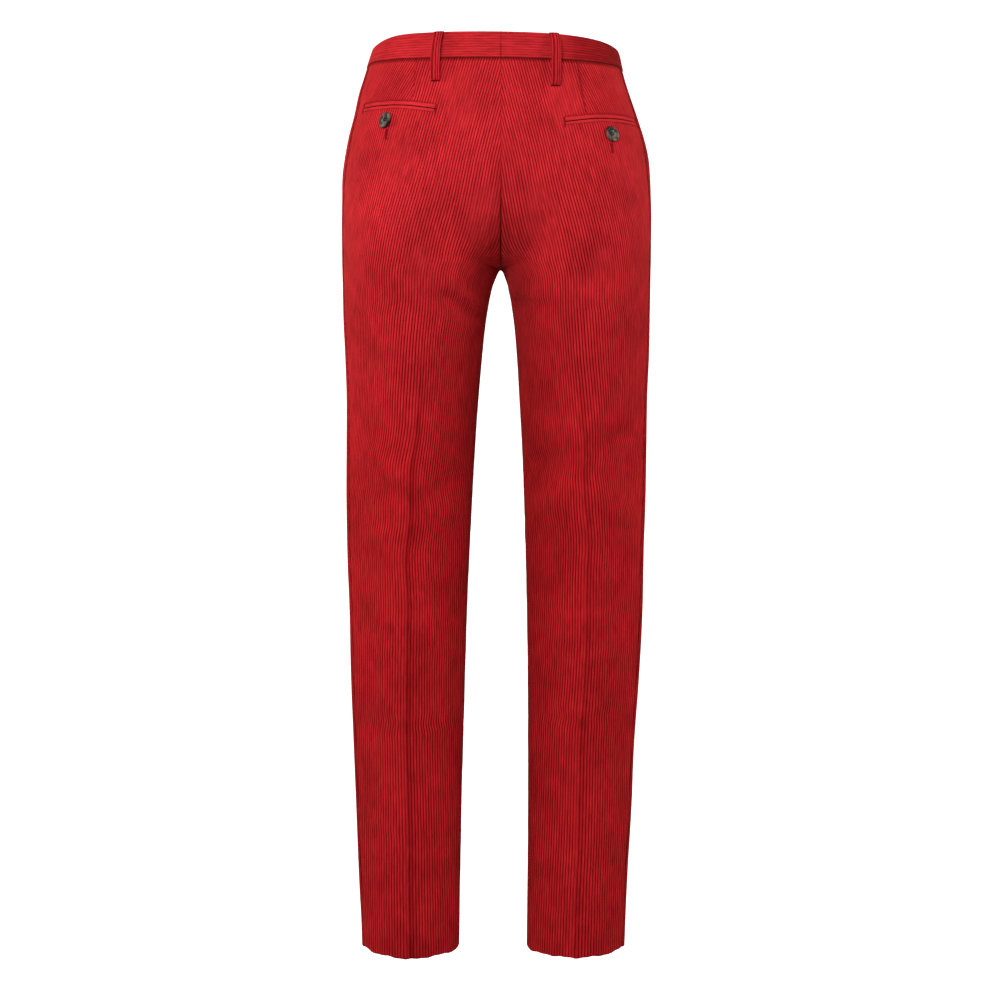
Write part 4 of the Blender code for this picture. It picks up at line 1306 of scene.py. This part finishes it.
def front_pocket_edge(settings, finish, side):
    """Make the folded edge of a slanted front pocket, from the waist seam to the side seam."""
    name = side_name(side)
    share = np.linspace(0.0, 1.0, EDGE_ROWS)
    around = EDGE_TOP + (EDGE_FOOT - EDGE_TOP) * share
    top = waist_seam(side, around[0])
    level = top + (EDGE_FOOT_LEVEL - top) * share
    middle, normals = facing(side, around, level)
    sideways = unit(np.cross(np.gradient(middle, axis=0), normals))
    sideways[0] = unit(sideways[0] * (1.0, 1.0, 0.0))
    width = np.linspace(-0.5, 0.5, EDGE_COLUMNS) * EDGE_WIDTH
    points = middle[:, None] + sideways[:, None] * width[:, None]
    turned = facing(side, around + EDGE_STEP, level)[0] - middle
    per = (sideways * turned).sum(-1) / (turned * turned).sum(-1) * EDGE_STEP
    places = around[:, None] + per[:, None] * width, level[:, None] + sideways[:, 2:] * width
    ends = np.minimum(share * EDGE_TOP_ROLL[0] + EDGE_TOP_ROLL[1], (1 - share) * EDGE_FOOT_ROLL)
    edges = np.minimum(EDGE_WIDTH / 2 - np.abs(width), ends[:, None])
    thin = EDGE_THIN + (1 - EDGE_THIN) * ease((1 - share[:, None]) / EDGE_THINS)
    grain = grain_of(side, "front", *places)
    return overlay(settings, f"front_pocket_{name}", f"front_pocket_edge_{name}", finish, points,
                   normals[:, None], grain, edges, thin)


def fly(settings, finish):
    """Make the fly: the layer that laps over the centre front seam and ends in a curve."""
    share = np.linspace(0.0, 1.0, FLY_ROWS)[:, None]
    over = np.linspace(0.0, 1.0, FLY_COLUMNS)
    top = waist_seam(LEFT, -1.0)
    level = top + (FLY_FOOT - top) * share
    bend = clamp((FLY_FOOT + FLY_CURVE - level) / FLY_CURVE)
    reach = FLY_WIDTH * np.sqrt(1.0 - FLY_ROUNDNESS * bend ** 2)
    x, level = matched(-FLY_OVERLAP + over * (reach + FLY_OVERLAP), level)
    points, normals = np.zeros((*x.shape, 3)), np.zeros((*x.shape, 3))
    grain = x + grain_of(LEFT, "front", np.array([-1.0]), np.array([top]))
    for side, own in ((LEFT, x >= 0), (RIGHT, x < 0)):
        around = find_around(side, "front", np.abs(x[own]), level[own])
        points[own], normals[own] = facing(side, around, level[own])
        if side == LEFT:
            grain[own] = grain_of(side, "front", around, level[own])
    edges = np.minimum(np.minimum(x + FLY_OVERLAP, reach - x), (1 - share) * FLY_LENGTH)
    return overlay(settings, "fly_layer", "fly", finish, points, normals, grain, edges)


# Stitches and buttons


def stitches(name, starts, ends, lifts, radius, finish):
    """Make a run of stitches as one piece.

    Each is a round thread from its start to its end, narrower at both, that rises by its lift times a
    half sine.
    """
    t = np.linspace(0.0, 1.0, STITCH_STEPS)
    turn = np.linspace(0.0, 2 * math.pi, STITCH_SIDES, endpoint=False)
    up = unit(lifts)
    over = unit(np.cross(unit(ends - starts), up))
    middle = starts[:, None] + (ends - starts)[:, None] * t[:, None]
    middle = middle + lifts[:, None] * np.sin(math.pi * t)[:, None]
    size = radius * np.sqrt(np.sin(math.pi * np.clip(t, STITCH_TIP, 1 - STITCH_TIP)))
    circle = over[:, None, None] * np.cos(turn)[:, None] + up[:, None, None] * np.sin(turn)[:, None]
    points = middle[:, :, None] + circle * size[:, None, None]
    index = np.arange(points[..., 0].size).reshape(points.shape[:3])
    closed = np.concatenate([index, index[:, :, :1]], axis=2)
    quads = np.stack(corners_of(closed), axis=-1).reshape(-1, 4).tolist()
    return piece(name, points.reshape(-1, 3), quads + index[:, 0].tolist() + index[:, -1].tolist(), finish)


def satin(middle, along, across, normal, length, width):
    """Give the starts, ends and lifts of satin stitches that lie side by side along a bar."""
    count = max(3, int(length / SATIN_PITCH))
    place = (np.linspace(-0.5, 0.5, count) * length)[:, None]
    shift = ((np.arange(count) % 2 - 0.5) * SATIN_STAGGER)[:, None]
    middle = middle + along * place + across * shift
    return middle - across * width / 2, middle + across * width / 2, np.tile(normal * SATIN_LIFT, (count, 1))


def bars_on(side, bars):
    """Give the satin stitches of upright bars on the back: each is x, level, length and width."""
    runs = []
    for x, level, length, width in bars:
        point, normal = place_on(side, "back", x, level)
        over = unit(np.cross((0.0, 0.0, 1.0), normal))
        along = np.cross(normal, over)
        across = np.cross(normal, along)
        runs.append(satin(point + normal * SATIN_REST, along, across, normal, length, width))
    return [np.concatenate(parts) for parts in zip(*runs)]


def button(name, node, point, normal, finish):
    """Make a turned button with four holes, and give its base and the two directions across it.

    It is a round grid whose height is read from the turned profile, less a smooth well at each hole, and
    it closes underneath in a shallow dome.
    """
    angle = np.linspace(0.0, 2 * math.pi, BUTTON_STEPS, endpoint=False)
    circle = np.stack([np.cos(angle), np.sin(angle)], axis=-1)
    flat = BUTTON_RADII[:, None, None] * circle
    height = np.broadcast_to(read(BUTTON_FACE, "height", BUTTON_RADII)[:, None], flat.shape[:2]).copy()
    for centre in BUTTON_HOLES:
        away = np.linalg.norm(flat - centre, axis=-1)
        height -= BUTTON_HOLE_DEPTH * ease((1 - away / BUTTON_HOLE_RADIUS) / BUTTON_HOLE_WALL)
    flat = np.concatenate([flat, BUTTON_BACK["radius"][:, None, None] * circle])
    height = np.concatenate([height, np.repeat(BUTTON_BACK["height"][:, None], BUTTON_STEPS, axis=1)])
    first = unit(np.cross((0.0, 0.0, 1.0), normal))
    second = np.cross(normal, first)
    base = point + normal * BUTTON_REST
    points = base + flat[..., :1] * first + flat[..., 1:] * second + height[..., None] * normal
    piece(name, points.reshape(-1, 3), tube_grid(points), finish, (node,))
    return base, first, second


def button_thread(name, base, first, second, normal, finish):
    """Make the thread of a four-hole button: three strands over each of its two pairs of holes."""
    starts, ends, lifts = [], [], []
    tips = [x * first + y * second for x, y in BUTTON_HOLES]
    for start, end in ((tips[0], tips[1]), (tips[3], tips[2])):
        for strand in (-1, 0, 1):
            aside = np.cross(normal, unit(end - start)) * strand * STRAND_APART
            starts.append(base + start + aside + normal * STRAND_REST)
            ends.append(base + end + aside + normal * STRAND_REST)
            lifts.append(normal * (STRAND_LIFT + STRAND_CROWN * (1 - abs(strand))))
    return stitches(name, np.array(starts), np.array(ends), np.array(lifts), STRAND_RADIUS, finish)


# Finishes


def material(name):
    """Give a new material, its node tree and its shader."""
    made = bpy.data.materials.new(name)
    made.use_nodes = True
    return made, made.node_tree, made.node_tree.nodes["Principled BSDF"]


def feed(tree, node, values):
    """Set a node's inputs and settings by name or place; a value that is another node's output is linked."""
    for key, value in values.items():
        if isinstance(value, bpy.types.NodeSocket):
            tree.links.new(value, node.inputs[key])
        elif isinstance(key, int) or key in node.inputs:
            node.inputs[key].default_value = value
        else:
            setattr(node, key, value)


def add(tree, kind, output, values):
    """Add a node, set its values and give one of its outputs."""
    made = tree.nodes.new("ShaderNode" + kind)
    feed(tree, made, values)
    return made.outputs[output]


def noise_on(tree, source, scale, detail=2.0, stretch=(1.0, 1.0, 1.0)):
    """Add noise over coordinates, stretched along some of them."""
    place = add(tree, "Mapping", "Vector", {"Vector": source, "Scale": stretch})
    return add(tree, "TexNoise", "Fac", {
        "Vector": place, "Scale": scale, "Detail": detail, "Roughness": NOISE_ROUGHNESS,
    })


def scaled(tree, value, low, high, start=0.3, end=0.7):
    """Map a value between two others."""
    return add(tree, "MapRange", "Result", {
        "Value": value, "From Min": start, "From Max": end, "To Min": low, "To Max": high,
    })


def combine(tree, operation, first, second):
    """Multiply or add two values."""
    return add(tree, "Math", 0, {"operation": operation, 0: first, 1: second})


def tinted(tree, colour, light):
    """Scale a colour by a value."""
    return add(tree, "VectorMath", "Vector", {"operation": "SCALE", 0: colour, "Scale": light})


def ramp_on(tree, value, places, colours, kind="LINEAR"):
    """Turn a value into a colour between two places of a ramp."""
    made = add(tree, "ValToRGB", "Color", {"Fac": value})
    ramp = made.node.color_ramp
    ramp.interpolation = kind
    for stop, place, colour in zip(ramp.elements, places, colours):
        stop.position = place
        stop.color = (*colour, 1.0)
    return made


def corduroy(settings):
    """Make the corduroy finish.

    Its colour runs from the groove's to the crown's by the wale's rise, the groove's being darker partly as
    painted shade. It is patchy where the pile lies differently, is broken up by the tufts across each wale,
    and darkened by the painted shade that the pieces carry. A power makes it deeper down the legs and where
    that painted shade is, as painted shade too. Fine fibres roughen it.
    """
    made, tree, shader = material("corduroy")
    rise = add(tree, "Attribute", "Fac", {"attribute_name": "rise"})
    shade = add(tree, "Attribute", "Fac", {"attribute_name": "shade"})
    grain = add(tree, "UVMap", "UV", {"uv_map": "Grain"})
    place = add(tree, "TexCoord", "Object", {})
    level = add(tree, "SeparateXYZ", "Z", {"Vector": place})

    tone_shift = scaled(tree, noise_on(tree, grain, 1.0, 4.0, NAP_STRETCH), *NAP_TONES)
    patches = scaled(tree, noise_on(tree, place, PATCH_SCALE, 4.0), *PATCH_TONES)
    tufts = scaled(tree, noise_on(tree, grain, 1.0, 1.0, TUFT_STRETCH), *TUFT_TONES)
    # Painted shade from the shade attribute darkens the colour
    seams = scaled(tree, shade, *SHADE_TONES, *SHADE_RANGE)
    light = combine(tree, "MULTIPLY", tone_shift, patches)
    for other in (tufts, seams):
        light = combine(tree, "MULTIPLY", light, other)

    colours = settings.groove_colour, settings.crown_colour
    colour = ramp_on(tree, rise, (GROOVE_END, 1.0), colours, "EASE")
    # Painted shade: the colour deepens lower down the legs and where the painted shade is
    lower = scaled(tree, level, *LOWER_SHADE_POWERS, *LOWER_RANGE)
    painted_darkening = scaled(tree, shade, *SHADE_POWERS, *SHADE_RANGE)
    colour = add(tree, "Gamma", "Color", {"Color": colour, "Gamma": combine(tree, "ADD", lower, painted_darkening)})
    fibres = combine(tree, "MULTIPLY", noise_on(tree, place, FIBRE_SCALE), tufts)
    feed(tree, shader, {
        "Base Color": tinted(tree, colour, light),
        "Normal": add(tree, "Bump", "Normal", {"Strength": 0.45, "Distance": 0.00025, "Height": fibres}),
        "Roughness": 0.88,
        "Specular IOR Level": 0.0,
        "Sheen Weight": settings.sheen,
        "Sheen Roughness": 0.45,
        "Sheen Tint": (1.0, 0.50, 0.30, 1.0),
    })
    return made


def thread_finish(name, colour):
    """Make a sewing thread's finish: dull, with a fine twist."""
    made, tree, shader = material(name)
    twist = noise_on(tree, add(tree, "TexCoord", "Object", {}), TWIST_SCALE)
    feed(tree, shader, {
        "Base Color": tinted(tree, colour, scaled(tree, twist, *TWIST_TONES)),
        "Roughness": 0.8,
        "Specular IOR Level": 0.1,
    })
    return made


def horn_finish(settings):
    """Make the horn finish: dark with paler streaks, and lightly polished."""
    made, tree, shader = material("horn")
    place = add(tree, "TexCoord", "Object", {})
    streaks = noise_on(tree, place, STREAK_SCALE, 4.0, STREAK_STRETCH)
    pits = noise_on(tree, place, PIT_SCALE)
    feed(tree, shader, {
        "Base Color": ramp_on(tree, streaks, STREAK_ENDS, (settings.horn_dark, settings.horn_pale)),
        "Normal": add(tree, "Bump", "Normal", {"Strength": 0.15, "Distance": 0.0002, "Height": pits}),
        "Roughness": 0.50,
        "Specular IOR Level": 0.20,
        "Coat Weight": 0.08,
        "Coat Roughness": 0.2,
    })
    return made


def finish_named(name):
    """Give a finish, made once from the scene's settings."""
    found = bpy.data.materials.get(name + "_finish")
    if found:
        return found
    scene = bpy.context.scene
    made = {
        "corduroy": lambda: corduroy(scene.trousers_cloth),
        "thread": lambda: thread_finish("thread", scene.trousers_cloth.thread_colour),
        "button_thread": lambda: thread_finish("button_thread", scene.trousers_buttons.thread_colour),
        "horn": lambda: horn_finish(scene.trousers_buttons),
    }[name]()
    made.name = name + "_finish"
    return made


# Settings


def colour_setting(name, description, default):
    """Give a colour's setting."""
    return FloatVectorProperty(
        name=name, description=description, default=default, min=0.0, max=1.0, subtype="COLOR",
    )


def length_setting(name, description, default, least, most):
    """Give a length's setting, in metres."""
    return FloatProperty(
        name=name, description=description, default=default, min=least, max=most, unit="LENGTH", precision=5,
    )


def power_setting(name, description, default):
    """Give a light's setting, in watts."""
    return FloatProperty(name=name, description=description, default=default, min=0.0, subtype="POWER")


class TrousersCloth(PropertyGroup):
    """The corduroy's sizes and colours."""

    wale_pitch: length_setting("Wale pitch", "Distance from one wale to the next", 0.0033, 0.0015, 0.008)
    wale_height: length_setting("Wale height", "How far a wale stands above its grooves", 0.00066, 0.0, 0.002)
    crown_colour: colour_setting("Crown colour", "Colour of a wale's top", (0.51, 0.0235, 0.0295))
    # The groove's colour is darker than the crown's partly as painted shade between the wales
    groove_colour: colour_setting("Groove colour", "Colour between two wales", (0.185, 0.0002, 0.0025))
    thread_colour: colour_setting("Thread colour", "Colour of the sewing thread", (0.24, 0.004, 0.008))
    sheen: FloatProperty(name="Sheen", description="How strongly the pile catches light at a low angle",
                         default=0.05, min=0.0, max=1.0, subtype="FACTOR")


class TrousersButtons(PropertyGroup):
    """The buttons' colours."""

    horn_dark: colour_setting("Dark horn", "The horn's own colour", (0.004, 0.008, 0.005))
    horn_pale: colour_setting("Pale horn", "Colour of the horn's streaks", (0.150, 0.112, 0.082))
    thread_colour: colour_setting("Thread colour", "Colour of the buttons' thread", (0.030, 0.004, 0.004))


class TrousersStudio(PropertyGroup):
    """The studio's light and floor."""

    key_power: power_setting("Key light", "Power of the light on the wearer's left, in watts", 20.5)
    fill_power: power_setting("Fill light", "Power of the light on the wearer's right, in watts", 20.0)
    front_power: power_setting("Front light", "Power of the light near the camera, in watts", 20.5)
    sky: FloatProperty(name="Ambient light", description="Brightness of the surroundings",
                       default=0.09, min=0.0)
    backdrop_glow: FloatProperty(name="Backdrop light", description="How brightly the backdrop glows",
                                 default=1.10, min=0.0)
    floor_level: FloatProperty(name="Floor", description="Level of the floor", default=-1.22, unit="LENGTH")
    floor_colour: colour_setting("Floor colour", "Colour of the floor and the backdrop", (0.62, 0.62, 0.62))


# Operators


class TROUSERS_OT_leg_panels(Operator):
    """Sew the two front and two back leg panels"""

    bl_idname = "trousers.leg_panels"
    bl_label = "Sew leg panels"

    def execute(self, context):
        """Make the four panels."""
        for _, side in SIDES:
            for face in FACES:
                made = leg_panel(context.scene.trousers_cloth, finish_named("corduroy"), face, side)
        return {"FINISHED"}


class TROUSERS_OT_waistband(Operator):
    """Sew the waistband's two halves"""

    bl_idname = "trousers.waistband"
    bl_label = "Sew waistband"

    def execute(self, context):
        """Make both halves; the left one carries the tab."""
        for name, side in SIDES:
            made = waistband(context.scene.trousers_cloth, finish_named("corduroy"), side)
        return {"FINISHED"}


class TROUSERS_OT_belt_loops(Operator):
    """Sew the belt loops"""

    bl_idname = "trousers.belt_loops"
    bl_label = "Sew belt loops"

    def execute(self, context):
        """Make three loops on each side."""
        settings = context.scene.trousers_cloth
        for name, side in SIDES:
            for place, *path in zip(("back", "side", "front"), *LOOPS[name].values()):
                made = belt_loop(settings, finish_named("corduroy"), side, place, *path)
        return {"FINISHED"}


class TROUSERS_OT_back_pockets(Operator):
    """Sew the jetted back pockets with their bar tacks and buttonholes"""

    bl_idname = "trousers.back_pockets"
    bl_label = "Sew back pockets"

    def execute(self, context):
        """Make the jets, the bar tacks at the ends of each slit, and the buttonhole below it."""
        for name, side in SIDES:
            for edge in JET_HEIGHTS:
                made = jet(finish_named("corduroy"), side, edge)
            slit = POCKETS[name]
            bars = []
            for end, out, length in TACKS:
                bars.append((slit["x"][end] + out, slit["level"][end] - TACK_DROP, length, TACK_WIDTH))
            x, level = BACK_BUTTONS[name]
            for out, drop, length, width in BUTTONHOLE:
                bars.append((x + out, level - drop, length, width))
            starts, ends, lifts = bars_on(side, bars)
            stitches(f"pocket_stitching_{name}", starts, ends, lifts, THREAD_RADIUS, finish_named("thread"))
        return {"FINISHED"}


class TROUSERS_OT_front(Operator):
    """Sew the fly and the front pocket edges"""

    bl_idname = "trousers.front"
    bl_label = "Sew fly and front pockets"

    def execute(self, context):
        """Make the layers that lie on the front panels."""
        settings = context.scene.trousers_cloth
        for name, side in SIDES:
            made = front_pocket_edge(settings, finish_named("corduroy"), side)
        made = fly(settings, finish_named("corduroy"))
        return {"FINISHED"}


class TROUSERS_OT_buttons(Operator):
    """Sew on the buttons"""

    bl_idname = "trousers.buttons"
    bl_label = "Sew on buttons"

    def execute(self, context):
        """Make the two back pocket buttons, which lean outwards, and the waistband button."""
        spots = []
        for name, side in SIDES:
            point, normal = place_on(side, "back", *BACK_BUTTONS[name])
            out, behind, up = normal
            lean = BUTTON_LEANS[name]
            leaning = np.array([
                out * math.cos(lean) + side * behind * math.sin(lean),
                behind * math.cos(lean) - side * out * math.sin(lean),
                up,
            ])
            lift = BUTTON_LEAN_LIFT * BUTTON_RADIUS * math.sin(lean)
            spots.append((f"back_{name}", point + normal * lift, leaning))
        around = find_around(RIGHT, "front", np.array([WAIST_BUTTON_INSET]), np.array([WAIST_SEAM]))[0]
        point, normal = band_places(RIGHT, around, 0.5)
        spots.append(("waist", point + normal * (BAND_PROUD + TAB_LIFT), normal))
        for name, point, normal in spots:
            across = button(f"{name}_button", f"button_{name}", point, normal, finish_named("horn"))
            button_thread(f"{name}_button_thread", *across, normal, finish_named("button_thread"))
        return {"FINISHED"}


class TROUSERS_OT_studio(Operator):
    """Set up the floor, the light and the camera"""

    bl_idname = "trousers.studio"
    bl_label = "Set up studio"

    def execute(self, context):
        """Make a pale floor that curves up beyond the trousers, three soft lights and a camera."""
        settings = context.scene.trousers_studio
        turn = np.linspace(0.0, QUARTER, FLOOR_STEPS)
        wall = -FLOOR_BACK - FLOOR_RADIUS
        along = np.concatenate([[FLOOR_REACH], -FLOOR_BACK - FLOOR_RADIUS * np.sin(turn), [wall]])
        height = np.concatenate([[0.0], FLOOR_RADIUS * (1 - np.cos(turn)), [WALL_HEIGHT]])
        height = height + settings.floor_level
        across = np.linspace(-FLOOR_REACH, FLOOR_REACH, 3)
        points = np.stack(np.broadcast_arrays(across[:, None], along, height), axis=-1)
        index = np.arange(points[..., 0].size).reshape(points.shape[:2])
        mesh = bpy.data.meshes.new("floor")
        mesh.from_pydata(points.reshape(-1, 3), [], grid_faces(index)[:, ::-1])
        mesh.shade_smooth()
        made, tree, shader = material("floor_finish")
        depth = add(tree, "SeparateXYZ", "Y", {"Vector": add(tree, "TexCoord", "Object", {})})
        feed(tree, shader, {
            "Base Color": (*settings.floor_colour, 1.0),
            "Roughness": 0.9,
            "Emission Color": (1.0, 1.0, 1.0, 1.0),
            "Emission Strength": scaled(tree, depth, settings.backdrop_glow, 0.0, *GLOW_ENDS),
        })
        mesh.materials.append(made)
        floor = bpy.data.objects.new("floor", mesh)
        context.scene.collection.objects.link(floor)

        for name, place, size in LIGHTS:
            light = bpy.data.lights.new(name + "_light", "AREA")
            light.energy = getattr(settings, name + "_power")
            light.shape = "DISK"
            light.size = size
            lamp = bpy.data.objects.new(name + "_light", light)
            lamp.visible_camera = False
            context.scene.collection.objects.link(lamp)
            lamp.location = place
            x, y, z = np.array(LIGHT_AIM) - np.array(place)
            lamp.rotation_euler = math.atan2(math.hypot(x, y), -z), 0.0, math.atan2(x, -y) + math.pi

        world = bpy.data.worlds.new("studio")
        world.use_nodes = True
        background = world.node_tree.nodes["Background"]
        feed(world.node_tree, background, {"Color": (1.0, 1.0, 1.0, 1.0), "Strength": settings.sky})
        context.scene.world = world

        camera = bpy.data.cameras.new("camera")
        camera.sensor_width = SENSOR_WIDTH
        camera.lens = LENS
        eye = bpy.data.objects.new("camera", camera)
        context.scene.collection.objects.link(eye)
        eye.location = EYE
        eye.rotation_euler = (QUARTER, 0.0, math.pi)
        context.scene.camera = eye
        context.scene.view_settings.view_transform = "Standard"
        return {"FINISHED"}


class TROUSERS_PT_panel(Panel):
    """The trousers' settings and steps"""

    bl_idname = "TROUSERS_PT_panel"
    bl_label = "Corduroy Trousers"
    bl_space_type = "VIEW_3D"
    bl_region_type = "UI"
    bl_category = "Trousers"

    def draw(self, context):
        """List the settings, then the steps in order."""
        for name, group in GROUPS.items():
            box = self.layout.box()
            for key in group.__annotations__:
                box.prop(getattr(context.scene, name), key)
        for step in STEPS:
            self.layout.operator(step.bl_idname)


STEPS = (
    TROUSERS_OT_leg_panels,
    TROUSERS_OT_waistband,
    TROUSERS_OT_belt_loops,
    TROUSERS_OT_back_pockets,
    TROUSERS_OT_front,
    TROUSERS_OT_buttons,
    TROUSERS_OT_studio,
)
GROUPS = {
    "trousers_cloth": TrousersCloth,
    "trousers_buttons": TrousersButtons,
    "trousers_studio": TrousersStudio,
}


def register():
    """Register the settings, the steps and the panel."""
    for name, group in GROUPS.items():
        bpy.utils.register_class(group)
        setattr(bpy.types.Scene, name, PointerProperty(type=group))
    for step in (*STEPS, TROUSERS_PT_panel):
        bpy.utils.register_class(step)


def unregister():
    """Take away what register added."""
    for step in (TROUSERS_PT_panel, *reversed(STEPS)):
        bpy.utils.unregister_class(step)
    for name, group in GROUPS.items():
        delattr(bpy.types.Scene, name)
        bpy.utils.unregister_class(group)


def main():
    """Sew the trousers and light them."""
    register()
    for step in STEPS:
        getattr(bpy.ops.trousers, step.bl_idname.partition(".")[2])()


if __name__ == "__main__":
    main()
